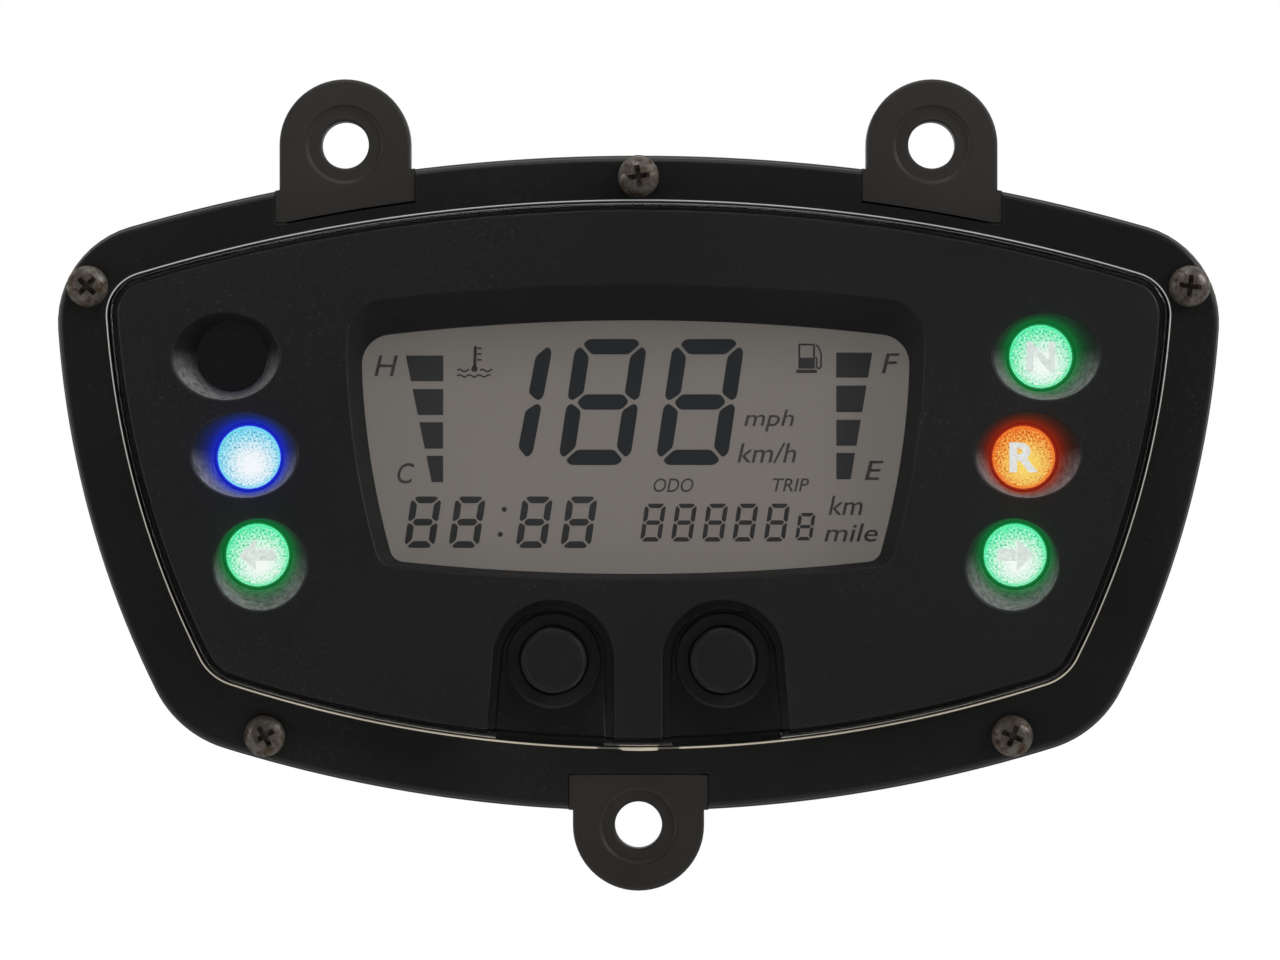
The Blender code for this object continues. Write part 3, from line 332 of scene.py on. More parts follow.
# ---- finishes --------------------------------------------------------------------------------------
class Tree:
    """Adds nodes to a node tree and joins them."""

    def __init__(self, tree):
        self.tree = tree
        tree.nodes.clear()

    def add(self, kind, inputs=None, **settings):
        """A node with its settings, its inputs set to values or joined to sockets."""
        node = self.tree.nodes.new(kind)
        for name, value in settings.items():
            setattr(node, name, value)
        for key, value in (inputs or {}).items():
            if isinstance(value, bpy.types.NodeSocket):
                self.tree.links.new(value, node.inputs[key])
            else:
                node.inputs[key].default_value = value
        return node

    def math(self, operation, *values, clamp=False):
        inputs = dict(enumerate(values))
        return self.add("ShaderNodeMath", inputs, operation=operation, use_clamp=clamp).outputs[0]

    def line(self, value, factor, start, clamp=False):
        """A value times a factor, added to a start."""
        return self.math("ADD", self.math("MULTIPLY", value, factor), start, clamp=clamp)

    def vector(self, operation, *values):
        node = self.add("ShaderNodeVectorMath", dict(enumerate(values)), operation=operation)
        return node.outputs["Value" if operation == "LENGTH" else "Vector"]

    def scaled(self, vector, share):
        return self.add("ShaderNodeVectorMath", {0: vector, "Scale": share}, operation="SCALE").outputs[0]

    def part(self, vector, axis):
        return self.add("ShaderNodeSeparateXYZ", {0: vector}).outputs[axis]

    def position(self, kind="Object"):
        return self.add("ShaderNodeTexCoord").outputs[kind]

    def noise(self, vector, scale, detail, **more):
        inputs = {"Vector": vector, "Scale": scale, "Detail": detail, **more}
        return self.add("ShaderNodeTexNoise", inputs).outputs["Fac"]

    def bump(self, height, strength, distance=FINE_BUMP):
        inputs = {"Height": height, "Strength": strength, "Distance": distance}
        return self.add("ShaderNodeBump", inputs).outputs[0]

    def remap(self, value, given=(0.0, 1.0), wanted=(0.0, 1.0), **settings):
        """A value carried from one range to another and held at its ends."""
        inputs = dict(zip(("Value", "From Min", "From Max", "To Min", "To Max"), (value, *given, *wanted)))
        return self.add("ShaderNodeMapRange", inputs, **settings).outputs[0]

    def mix(self, factor, first, second, blend="MIX"):
        node = self.tree.nodes.new("ShaderNodeMix")
        node.data_type, node.blend_type = "RGBA", blend
        for key, kind, value in (("Factor", "VALUE", factor), ("A", "RGBA", first), ("B", "RGBA", second)):
            socket = next(s for s in node.inputs if s.name == key and s.type == kind)
            if isinstance(value, bpy.types.NodeSocket):
                self.tree.links.new(value, socket)
            else:
                socket.default_value = value
        return next(s for s in node.outputs if s.type == "RGBA")

    def ramp(self, factor, *stops):
        """A colour ramp from (position, colour) stops."""
        node = self.add("ShaderNodeValToRGB", {"Fac": factor})
        elements = node.color_ramp.elements
        while len(elements) < len(stops):
            elements.new(1.0)
        for element, (position, colour) in zip(elements, stops):
            element.position, element.color = position, colour
        return node.outputs["Color"]

    def levels(self, factor, *stops):
        """A ramp of greys from (position, level) stops."""
        return self.ramp(factor, *((position, opaque((level,) * 3)) for position, level in stops))

    def group(self, title, inputs):
        return self.add("ShaderNodeGroup", inputs, node_tree=node_group(title)).outputs


def moulded_grain(t, given):
    """Moulded grain: small rounded cells under a softer wave, as a height and a tone."""
    scaled = t.scaled(given["Vector"], given["Cells"])
    cells = t.add("ShaderNodeTexVoronoi", {"Vector": scaled, "Scale": 1.0}, feature="SMOOTH_F1")
    wave = t.noise(scaled, 0.6, 3.0)
    height = t.line(cells.outputs["Distance"], 0.5, t.math("MULTIPLY", wave, 0.6))
    return {"Height": height, "Tone": t.noise(scaled, 0.02, 2.0)}


def settled_dust(t, given):
    """Settled dust: fine specks, thicker where a broad noise is high, as a mask from 0 to 1."""
    fine = t.noise(t.scaled(given["Vector"], given["Specks"]), 1.0, 2.0)
    broad = t.noise(given["Vector"], 40.0, 4.0)
    specks = t.math("MULTIPLY", t.math("SUBTRACT", fine, 0.62), 9.0, clamp=True)
    patches = t.math("MULTIPLY", t.math("SUBTRACT", broad, 0.35), 2.5, clamp=True)
    return {"Mask": t.math("MULTIPLY", t.math("MULTIPLY", specks, patches), given["Amount"], clamp=True)}


def lamp_glow(t, given):
    """Painted light of one lamp on what is round it, as emission: its colour, fading with the distance from its
    edge.
    """
    flat = t.vector("MULTIPLY", t.vector("SUBTRACT", given["Vector"], given["Centre"]), (1.0, 0.0, 1.0))
    distance = t.vector("LENGTH", flat)
    beyond = t.math("DIVIDE", t.math("SUBTRACT", distance, given["Edge"]), given["Fade"])
    strength = t.math("POWER", 2.718, t.math("MULTIPLY", t.math("MAXIMUM", beyond, 0.0), -1.0))
    low = t.remap(t.part(given["Vector"], "Y"), (MASK_FRONT * MM, -3.0 * MM), (0.05, 1.0))
    return {"Color": t.scaled(given["Color"], t.math("MULTIPLY", strength, low))}


GROUPS = {
    "moulded grain": (moulded_grain,
                      {"Vector": "Vector", "Cells": "Float"},
                      {"Height": "Float", "Tone": "Float"}),
    "settled dust": (settled_dust,
                     {"Vector": "Vector", "Specks": "Float", "Amount": "Float"},
                     {"Mask": "Float"}),
    "lamp glow": (lamp_glow,
                  {"Vector": "Vector", "Centre": "Vector", "Edge": "Float", "Fade": "Float", "Color": "Color"},
                  {"Color": "Color"}),
}


def node_group(title):
    """A shared node group by its title, built the first time it is asked for."""
    if title in bpy.data.node_groups:
        return bpy.data.node_groups[title]
    lay_out, inputs, outputs = GROUPS[title]
    tree = bpy.data.node_groups.new(title, "ShaderNodeTree")
    for way, sockets in (("INPUT", inputs), ("OUTPUT", outputs)):
        for socket, kind in sockets.items():
            tree.interface.new_socket(socket, in_out=way, socket_type=f"NodeSocket{kind}")
    t = Tree(tree)
    t.add("NodeGroupOutput", lay_out(t, t.add("NodeGroupInput").outputs))
    return tree


def colours():
    return bpy.context.scene.cluster_colours


def sizes():
    return bpy.context.scene.cluster_sizes


def opaque(colour, share=1.0):
    return (*(part * share for part in colour), 1.0)


def surface(t, **inputs):
    """The material's own shader and output, its inputs named with underscores for spaces."""
    names = {key.replace("_", " "): value for key, value in inputs.items()}
    shader = t.add("ShaderNodeBsdfPrincipled", names)
    t.add("ShaderNodeOutputMaterial", {"Surface": shader.outputs[0]})
    return shader


def painted_well_highlight(t, position, tone, grain, painted_well_light):
    """The tone with a painted highlight, speckled like dust, in the lamps' wells: below the mask's front, out
    past the display, and on what faces upwards."""
    # Painted highlight: a pale speckled tone on the wells' upward-facing walls, standing in for light falling
    # there.
    deep = t.remap(t.part(position, "Y"), ((MASK_FRONT + 0.15) * MM, (MASK_FRONT + 0.6) * MM))
    beside = t.math("GREATER_THAN", t.math("ABSOLUTE", t.part(position, "X")), WELLS_FROM * MM)
    upwards = t.remap(t.part(t.position("Normal"), "Z"), (-0.2, 0.55))
    settled = t.math("MULTIPLY", t.math("MULTIPLY", deep, beside), upwards)
    speckle = t.ramp(grain["Height"], (0.25, opaque(painted_well_light, 0.35)), (0.6, opaque(painted_well_light, 1.6)))
    return t.mix(settled, tone, speckle)


def moulded(t, colour, roughness, cells, bump, dust=0.0, sheen=0.0, emission=None, painted_well_light=None):
    """Moulded plastic or rubber: grain in its height and gloss, dust on top, and a painted highlight in
    hollows.
    """
    position = t.position()
    grain = t.group("moulded grain", {"Vector": position, "Cells": cells})
    specks = t.group("settled dust", {"Vector": position, "Specks": 2600.0, "Amount": dust})["Mask"]
    tone = t.mix(grain["Tone"], opaque(colour, 0.75), opaque(colour, 1.3))
    if painted_well_light is not None:
        tone = painted_well_highlight(t, position, tone, grain, painted_well_light)
    shade = t.mix(specks, tone, DUST)
    gloss = t.remap(grain["Tone"], wanted=(roughness - 0.08, roughness + 0.12))
    rough = t.math("ADD", gloss, t.math("MULTIPLY", specks, 0.3), clamp=True)
    normal = t.bump(grain["Height"], bump)
    extra = {} if emission is None else {"Emission_Color": emission(t, position), "Emission_Strength": 1.0}
    return surface(t, Base_Color=shade, Roughness=rough, Normal=normal, Sheen_Weight=sheen, **extra)


def case_plastic(t):
    moulded(t, colours().case, 0.5, 2200.0, 0.35, dust=0.25)


def bezel_plastic(t):
    moulded(t, colours().bezel, 0.38, 1800.0, 0.22, dust=0.2)


def mask_glow(t, position):
    """The painted glow of the five lit lamps on the mask, added up as emission."""
    total = None
    for lamp, lamp_material in LAMPS.items():
        if lamp_material == "lamp_dark":
            continue
        x, z = lamp_centre(lamp)
        tint = getattr(colours(), lamp_material.replace("lamp_", "") + "_halo")
        one = t.group("lamp glow", {"Vector": position, "Centre": (x * MM, 0.0, z * MM), "Color": opaque(tint),
                                    "Edge": sizes().lit_radius, "Fade": sizes().glow_fade})["Color"]
        total = one if total is None else t.mix(1.0, total, one, "ADD")
    return total


def mask_plastic(t):
    moulded(t, colours().mask, 0.5, 1500.0, 0.4, dust=0.35, emission=mask_glow, painted_well_light=colours().painted_well_light)


def black_rubber(t):
    moulded(t, colours().rubber, 0.55, 3000.0, 0.2, dust=0.3, sheen=0.1)


def clear_plastic(t):
    """Clear plastic that lets light and shadow rays straight through."""
    position = t.position()
    specks = t.group("settled dust", {"Vector": position, "Specks": 1800.0, "Amount": 0.5})["Mask"]
    rough = t.line(specks, 0.25, 0.02)
    normal = t.bump(t.noise(position, 60.0, 1.0), 0.05, 0.0002)
    shader = t.add("ShaderNodeBsdfPrincipled", {"Base Color": (0.97, 0.98, 0.98, 1.0), "Roughness": rough,
                                                "Transmission Weight": 1.0, "IOR": 1.49, "Normal": normal})
    through = t.add("ShaderNodeBsdfTransparent")
    path = t.add("ShaderNodeLightPath").outputs
    passing = t.math("MAXIMUM", path["Is Shadow Ray"], path["Is Diffuse Ray"])
    both = t.add("ShaderNodeMixShader", {0: passing, 1: shader.outputs[0], 2: through.outputs[0]})
    t.add("ShaderNodeOutputMaterial", {"Surface": both.outputs[0]})


def edge_line(t):
    """The lens's bright edge, a painted glint: a pale strip that glows, most along the bottom, standing in for
    the light the lens carries out at its foot. Along the bottom it is dim where |X| runs from 2.9 to 5.5 mm,
    beside the buttons' pockets."""
    position = t.position()
    height = t.part(position, "Z")
    share = t.remap(height, (-0.037, 0.04))
    spots = t.noise(position, 90.0, 4.0)
    across = t.math("ABSOLUTE", t.part(position, "X"))
    between = t.levels(t.math("MULTIPLY", across, 100.0), (0.0, 1.0), (0.25, 1.0), (0.29, 0.15), (0.55, 0.15),
                       (0.6, 1.0))
    shade = t.mix(t.math("LESS_THAN", height, -0.03), (1.0, 1.0, 1.0, 1.0), between)
    tone = t.mix(share, opaque(colours().glint_low), opaque(colours().glint_high))
    lit = t.mix(1.0, tone, shade, "MULTIPLY")
    glow = t.mix(t.math("MULTIPLY", spots, 0.7), lit, opaque(colours().glint_high, 0.2))
    surface(t, Base_Color=lit, Roughness=t.line(spots, 0.3, 0.15), Emission_Color=glow, Emission_Strength=0.7)


def screw_steel(t):
    """Dull plated steel with brown rust in its hollows and grey wear on top."""
    rust = t.noise(t.position(), 900.0, 6.0, Roughness=0.65)
    stain = t.ramp(rust, (0.44, opaque(colours().steel)), (0.62, opaque(colours().rust)),
                   (0.76, opaque(colours().rust, 0.4)))
    metal = t.remap(rust, (0.4, 0.65), (0.7, 0.2))
    rough = t.remap(rust, (0.35, 0.7), (0.32, 0.75))
    surface(t, Base_Color=stain, Metallic=metal, Roughness=rough, Normal=t.bump(rust, 0.4))


def lcd_glass(t):
    """The display's grey ground, in the shade of its hood near the top."""
    position = t.position()
    share = t.remap(t.part(position, "Z"), (-0.0124, 0.023))
    blotch = t.noise(position, 45.0, 2.0)
    fine = t.noise(position, 5000.0, 1.0)
    ground = t.ramp(share, (0.0, opaque(colours().display)), (0.75, opaque(colours().display, 0.92)),
                    (1.0, opaque(colours().display, 0.72)))
    uneven = t.mix(t.math("MULTIPLY", blotch, 0.25), ground, opaque(colours().display, 0.7))
    lit = t.mix(t.math("MULTIPLY", fine, 0.1), uneven, opaque(colours().display, 1.2))
    surface(t, Base_Color=lit, Roughness=t.line(blotch, 0.1, 0.3),
            Emission_Color=seen_straight(t, lit), Emission_Strength=0.42)


def segment_shade(share):
    """A display segment's finish, paler where its share of the dark colour is lower."""

    def build(t):
        fine = t.noise(t.position(), 1500.0, 2.0)
        pale = [d * share + p * (1 - share) for d, p in zip(colours().segment, colours().display)]
        tone = t.mix(t.math("MULTIPLY", fine, 0.3), opaque(pale), opaque(colours().segment))
        surface(t, Base_Color=tone, Roughness=t.line(fine, 0.1, 0.35))

    return build


def seen_straight(t, light):
    """A light, held down to a seventh where it falls on another surface and isn't looked at."""
    path = t.add("ShaderNodeLightPath").outputs
    straight = t.math("MAXIMUM", path["Is Camera Ray"], path["Is Transmission Ray"])
    return t.mix(straight, t.mix(0.86, light, (0.0, 0.0, 0.0, 1.0)), light)


def lamp_light(name, core):
    """A lit lamp: grainy tint, brighter ring, a hot patch low down, and a dim collar outside."""

    def build(t):
        tint, deep, hot, heart = (opaque(getattr(colours(), key))
                                  for key in (name, f"{name}_halo", f"{name}_hot", core))
        face_map = t.add("ShaderNodeUVMap", uv_map="face").outputs[0]
        centred = t.vector("SUBTRACT", face_map, (0.5, 0.5, 0.0))
        radius = t.math("MULTIPLY", t.vector("LENGTH", centred), 2.0)
        spot = t.vector("LENGTH", t.vector("SUBTRACT", centred, (0.03, -0.09, 0.0)))
        grains = t.noise(face_map, 38.0, 3.0, Roughness=0.7)
        speckle = t.ramp(grains, (0.36, opaque(tint[:3], 0.5)), (0.5, tint), (0.64, hot))
        uneven = t.math("MULTIPLY", t.math("SUBTRACT", grains, 0.5), 3.0)
        heat = t.math("ADD", t.math("MULTIPLY", t.math("SUBTRACT", HOT_REACH, spot), 3.6), uneven, clamp=True)
        face = t.mix(t.math("MULTIPLY", heat, 0.95), speckle, heart)
        reach = sizes().lit_radius / (disc_radius() * MM)
        ring = t.levels(radius, (0.0, 0.0), (reach - 0.07, 0.0), (reach - 0.03, 1.0), (reach, 0.6),
                        (reach + 0.012, 0.0))
        edged = t.mix(t.math("MULTIPLY", ring, 0.8), face, tint)
        inside = t.levels(radius, (0.0, 1.0), (reach - 0.004, 1.0), (reach + 0.016, 0.0))
        outside = t.levels(radius, (0.0, 1.0), (reach, 1.0), (reach + 0.14, 0.0))
        collar = t.mix(outside, (0.0, 0.0, 0.0, 1.0), deep)
        light = t.mix(inside, collar, edged)
        surface(t, Base_Color=t.mix(inside, (0.01, 0.01, 0.01, 1.0), opaque(tint[:3], 0.3)),
                Roughness=t.line(grains, 0.3, 0.15), Emission_Color=seen_straight(t, light),
                Emission_Strength=1.05)

    return build


def lamp_dark(t):
    """An unlit lamp's smoked lens, with a faint grain."""
    moulded(t, (0.024, 0.024, 0.029), 0.45, 2500.0, 0.3, dust=0.3, sheen=0.2)


def lamp_symbol(t):
    """A letter or arrow on a lit lamp."""
    fine = t.noise(t.position(), 2500.0, 2.0)
    tone = t.mix(fine, opaque(colours().symbol, 0.6), opaque(colours().symbol, 1.2))
    surface(t, Base_Color=tone, Roughness=t.line(fine, 0.2, 0.3),
            Emission_Color=seen_straight(t, tone), Emission_Strength=0.9)


def plain(colour, roughness, scale, metallic=0.0, variation=0.3, bump=0.1):
    """A hidden piece's finish: a colour that varies a little, and fine grain."""

    def build(t):
        fine = t.noise(t.position(), scale, 4.0)
        tone = t.mix(fine, opaque(colour, 1 - variation), opaque(colour, 1 + variation))
        rough = t.remap(fine, wanted=(roughness - 0.1, roughness + 0.1))
        surface(t, Base_Color=tone, Roughness=rough, Normal=t.bump(fine, bump), Metallic=metallic)

    return build


FINISHES = {
    "case_plastic": case_plastic,
    "bezel_plastic": bezel_plastic,
    "mask_plastic": mask_plastic,
    "clear_plastic": clear_plastic,
    "edge_line": edge_line,
    "black_rubber": black_rubber,
    "screw_steel": screw_steel,
    "lcd_glass": lcd_glass,
    "segment_dark": segment_shade(1.0),
    "segment_bar": segment_shade(0.82),
    "segment_faint": segment_shade(0.55),
    "lamp_blue": lamp_light("blue", "white_hot"),
    "lamp_green": lamp_light("green", "white_hot"),
    "lamp_red": lamp_light("red", "red_core"),
    "lamp_dark": lamp_dark,
    "lamp_symbol": lamp_symbol,
    "white_plastic": plain((0.72, 0.71, 0.67), 0.5, 900.0, variation=0.08),
    "board_green": plain((0.016, 0.018, 0.016), 0.5, 300.0),
    "pin_brass": plain((0.72, 0.55, 0.22), 0.3, 1500.0, metallic=1.0, variation=0.2),
    "chip_black": plain((0.014, 0.014, 0.014), 0.5, 2500.0, bump=0.3),
    "capacitor_foil": plain((0.35, 0.36, 0.40), 0.35, 700.0, metallic=0.6, variation=0.15),
    "floor_paint": plain((0.8, 0.8, 0.79), 0.85, 8.0, variation=0.02, bump=0.02),
}


def finish(name):
    """A finish by its name, built the first time it is asked for."""
    if f"{name}_finish" in bpy.data.materials:
        return bpy.data.materials[f"{name}_finish"]
    material = bpy.data.materials.new(f"{name}_finish")
    material.use_nodes = True
    FINISHES[name](Tree(material.node_tree))
    return material


# ---- case, bezel and lens --------------------------------------------------------------------------
def beside_lens(centre, foot, reach, width, corner):
    """A box path from a height beside the lens to the reach past an ear's middle."""
    x, z = centre
    far = z + math.copysign(reach, z)
    return rounded_box_path((x, (foot + far) / 2), width, abs(far - foot), corner)


def build_ear(centre):
    """An ear with rounded edges, its root filling the bezel's notch outside the lens."""
    past = (EAR_FRONT - 1.0, EAR_BACK + 1.0)

    def slab(inwards):
        return [(-inwards, EAR_FRONT), (0.0, EAR_FRONT), (0.0, EAR_BACK), (-inwards, EAR_BACK)]

    ear = swept("ear", tongue_path(centre, EAR_RADIUS, 14.0), slab(3.0), sizes().edge_rounding / MM)
    reach = beside_lens(centre, 36.75 if centre[1] > 0 else -40.55, 2 * EAR_RADIUS, ROOT_WIDTH, 0.2)
    combine(ear, "INTERSECT", straight("reach", reach, *past))
    root = swept("root", reach, slab(0.15), 0.12)
    combine(root, "INTERSECT", straight("edge", FLANGE, *past, offset=-0.07))
    combine(ear, "UNION", root)
    return combine(ear, "DIFFERENCE", straight("lens_side", LENS, *past, offset=1.82))


def build_case():
    """The case: the lens outline's tub and the flange outline's edge as one wall, with three
    ears, screw bosses and the connector's collar. Each part is a profile carried round a path."""
    edge = sizes().edge_rounding / MM
    inner = soften([(-4.65, TUB_BACK - 2.0), (-2.15, TUB_BACK - 4.5), (-1.35, FLANGE_FRONT),
                    (-0.9, FLANGE_FRONT), (-0.9, -1.0), (0.2, -1.0), (0.2, FLANGE_FRONT), (1.2, FLANGE_FRONT)],
                   [0, 1.5, 0, 0, 0, 0, 0, 0])
    flange = soften([(-3.0, FLANGE_FRONT), (0.0, FLANGE_FRONT), (0.0, FLANGE_BACK), (-2.0, FLANGE_BACK)],
                    [0, edge, edge, 0])
    tub = soften([(1.6, FLANGE_BACK), (0.65, FLANGE_BACK), (-0.15, TUB_BACK), (-3.5, TUB_BACK)],
                 [0, 0.9, 3.4, 0], steps=8)
    case = skin("rear_case_shell", np.concatenate([LENS.sweep(inner), FLANGE.sweep(flange), LENS.sweep(tub)]))
    boss = [(0.08, FLANGE_BACK - 0.3), (-0.05, BOSS_BACK), (-1.2, BOSS_BACK)]
    bosses = [swept("boss", disc_path(screw_centre(name), 3.2, 40), boss, [0, 0.35, 0]) for name in CASE_SCREWS]
    middle = centre_of("connector_shell")
    width, height, collar_wall = 28.2, 15.0, 1.8
    collar = swept("collar", rounded_box_path(middle, width + 2 * collar_wall, height + 2 * collar_wall, 1.6),
                   [(0.0, TUB_BACK - 1.0), (0.0, COLLAR_BACK), (-1.0, COLLAR_BACK)], [0, 0.5, 0])
    combine(case, "UNION", *bosses, *[build_ear(centre) for centre in EARS], collar)
    opening = rounded_box_path(middle, width, height, 1.0)
    combine(case, "DIFFERENCE", straight("opening", opening, TUB_BACK - 3.0, TUB_BACK + 3.0))
    dish = [(-2.0, EAR_FRONT - 0.5), (0.5, EAR_FRONT - 0.5), (0.35, EAR_FRONT - 0.02),
            (-0.15, EAR_FRONT + 0.5), (-2.0, EAR_FRONT + 0.5)]
    hole = [(0.3, EAR_FRONT - 1.0), (0.3, EAR_FRONT + 0.5), (0.0, EAR_FRONT + 0.8), (0.0, EAR_BACK - 0.3),
            (0.3, EAR_BACK), (0.3, EAR_BACK + 1.0)]
    for centre in EARS:
        combine(case, "DIFFERENCE", swept("dish", disc_path(centre, 5.3), dish, [0, 0, 0.3, 0.3, 0]))
        combine(case, "DIFFERENCE", swept("hole", disc_path(centre, 3.3), hole))
    return place(case, "case_plastic", nodes=["rear_case"])


def build_bezel():
    """The bezel: one profile carried round between the flange and lens outlines, notched at each ear."""
    edge = sizes().edge_rounding / MM
    outer = soften([(-3.0, BEZEL_BACK), (-0.4, BEZEL_BACK), (-0.4, BEZEL_FRONT), (-4.0, BEZEL_FRONT)],
                   [0, 0.15, 1.5 * edge, 0], steps=6)
    inner = soften([(1.2, BEZEL_FRONT), (0.0, BEZEL_FRONT), (0.0, -4.3), (1.0, -4.3), (1.0, BEZEL_BACK)],
                   [0, 0.3, 0, 0, 0])
    bezel = skin("front_bezel_ring", np.concatenate([FLANGE.sweep(outer), LENS.sweep(inner)]), endless=True)
    past = (BEZEL_FRONT - 1.0, 0.0)
    for centre in EARS:
        foot = 36.6 if centre[1] > 0 else -40.4
        block = beside_lens(centre, foot, EAR_RADIUS, ROOT_WIDTH + 2 * ROOT_ROOM, 0.3)
        notch = swept("notch", block, [(0.15, past[0]), (0.15, BEZEL_FRONT - 0.01), (0.0, BEZEL_FRONT + 0.15),
                                       (0.0, past[1])])
        combine(notch, "DIFFERENCE", straight("lens_side", LENS, past[0] - 1.0, past[1] + 1.0, offset=1.5))
        combine(bezel, "DIFFERENCE", notch)
    for name in CASE_SCREWS:
        combine(bezel, "DIFFERENCE", straight("bore", disc_path(screw_centre(name), 1.65, 32), *past))
    return place(bezel, "bezel_plastic", nodes=["front_bezel"])


def build_lens():
    """The clear lens: a cup swept round the lens outline, its front bulging as rise * (1 - s^2)
    where s is the share of the way out to the edge, with a pocket cut in for each button."""
    rise = sizes().lens_rise / MM
    front = LENS_TOP + rise
    inner_top = LENS_TOP + 1.8
    outer_wall = -0.85
    outside = soften([(-1.5, inner_top), (-1.0, LENS_BACK), (0.7, LENS_BACK), (0.7, -4.0), (-0.25, -4.0),
                      (outer_wall, front), (outer_wall - 2.4, front - 0.02)],
                     [0, 0, 0.1, 0.15, 0, 0.4, 0], steps=8)
    rings = LENS.sweep(outside)
    middle = np.array([0.0, 0.0, 1.5])
    shares = np.linspace(1.0, 0.04, 16)[1:, None, None]
    crown = middle + (rings[-1][None] - middle) * shares
    crown[:, :, 1] = front - 0.02 - (rise - 0.02) * (1 - shares[:, :, 0] ** 2)
    lens = skin("clear_lens_cover", np.concatenate([rings, crown]))
    for side in SIDES:
        mass = straight("mass", arch_path(side, 8.3), POCKET_UNDERSIDE, inner_top - 0.6)
        combine(mass, "INTERSECT", straight("inside", LENS, 0.0, LENS_TOP - 1.0, offset=-1.05))
        combine(lens, "UNION", mass)
    for side, centre in BUTTONS.items():
        flare = [(0.0, POCKET_FLOOR), (0.0, front + 0.35), (0.08, front + 0.15), (0.3, front - 0.1),
                 (0.3, LENS_TOP - 2)]
        combine(lens, "DIFFERENCE", swept("pocket", arch_path(side, 7.1), flare))
        hole = straight("hole", disc_path(centre, 6.2), POCKET_FLOOR - 1.0, POCKET_UNDERSIDE + 1.0)
        combine(lens, "DIFFERENCE", hole)
    return place(lens, "clear_plastic", nodes=["clear_lens"], angle=30.0)


def build_painted_edge_glint():
    """The lens's bright edge, a glowing strip painted as a glint: a small circle carried round the lens
    outline, in the gap beside the bezel. It lies 0.3 * cos(angle)^2 mm further out towards the sides, and its
    radius grows by 0.4 of itself from a height of -20 mm down to -34 mm."""
    near, far = LENS.sweep([(-0.125, BEZEL_FRONT - 0.02), (0.175, BEZEL_FRONT - 0.02)])[:, None]
    middle = near + (far - near) * np.cos(LENS.angle)[:, None] ** 2
    half = sizes().line_width / MM / 2 * (1.0 + 0.4 * np.clip((-20.0 - middle[:, :, 2]) / 14.0, 0.0, 1.0))
    turn = np.linspace(0.0, 2 * math.pi, 12, endpoint=False)[:, None]
    outwards = np.stack([half * np.cos(turn) * np.cos(LENS.angle), half * np.sin(turn),
                         half * np.cos(turn) * np.sin(LENS.angle)], axis=-1)
    line = skin("lens_edge_line", middle + outwards, endless=True)
    share = np.sin(np.linspace(0.0, math.pi, 24))[1:-1]
    along = np.cos(np.linspace(math.pi, 0.0, 24))[1:-1]
    around = np.linspace(0.0, 2 * math.pi, 12, endpoint=False)
    across, up = (wave(around)[None] * share[:, None] ** 0.5 for wave in (np.cos, np.sin))
    lengthways = np.broadcast_to(0.2 + 2.6 * along[:, None], across.shape)
    nub = np.stack([lengthways, BEZEL_FRONT - 0.05 + 0.1 * across, -37.0 + 0.21 * up], axis=-1)
    combine(line, "UNION", skin("nub", nub))
    return place(line, "edge_line")


# ---- dial mask --------------------------------------------------------------------------------------
def well_rings(lamp, wall=0.0):
    """A lamp's well: an ellipse at the mask's front that turns into a circle at its foot.

    The ring at share s lies at (1 - s) * ellipse + s * circle, with a rounded lip at s = 0.
    """
    x, z = lamp_centre(lamp)
    lean, (half_width, half_height) = RIM_LEANS[lamp], RIM_SIZES[lamp]
    lip = sizes().well_lip / MM
    angle = 2 * math.pi * (np.arange(72) + 0.5) / 72
    around = np.stack([np.cos(angle), np.zeros(72), np.sin(angle)], axis=-1)

    def ring(share, grow, depth):
        centre = np.array([x + lean[0] * (1 - share), depth, z + lean[1] * (1 - share)])
        radii = np.array([half_width, 0.0, half_height]) * (1 - share) + WELL_FOOT * share + grow + wall
        return centre + around * radii

    depth = WELL_FLOOR - MASK_FRONT
    if wall:
        return np.stack([ring(share, 0.0, MASK_FRONT + depth * share) for share in (0.06, 1.0)])
    lips = []
    for turn in np.linspace(0.0, math.pi / 2, 6):
        down = lip * (1 - math.cos(turn))
        lips.append(ring(down / depth, lip * (1 - math.sin(turn)), MASK_FRONT + down))
    foot = [ring(1.0, 0.0, WELL_FLOOR), ring(1.0, 0.0, WELL_FLOOR + 0.6)]
    return np.stack([ring(0.0, lip, MASK_FRONT - 1.0), *lips, *foot])


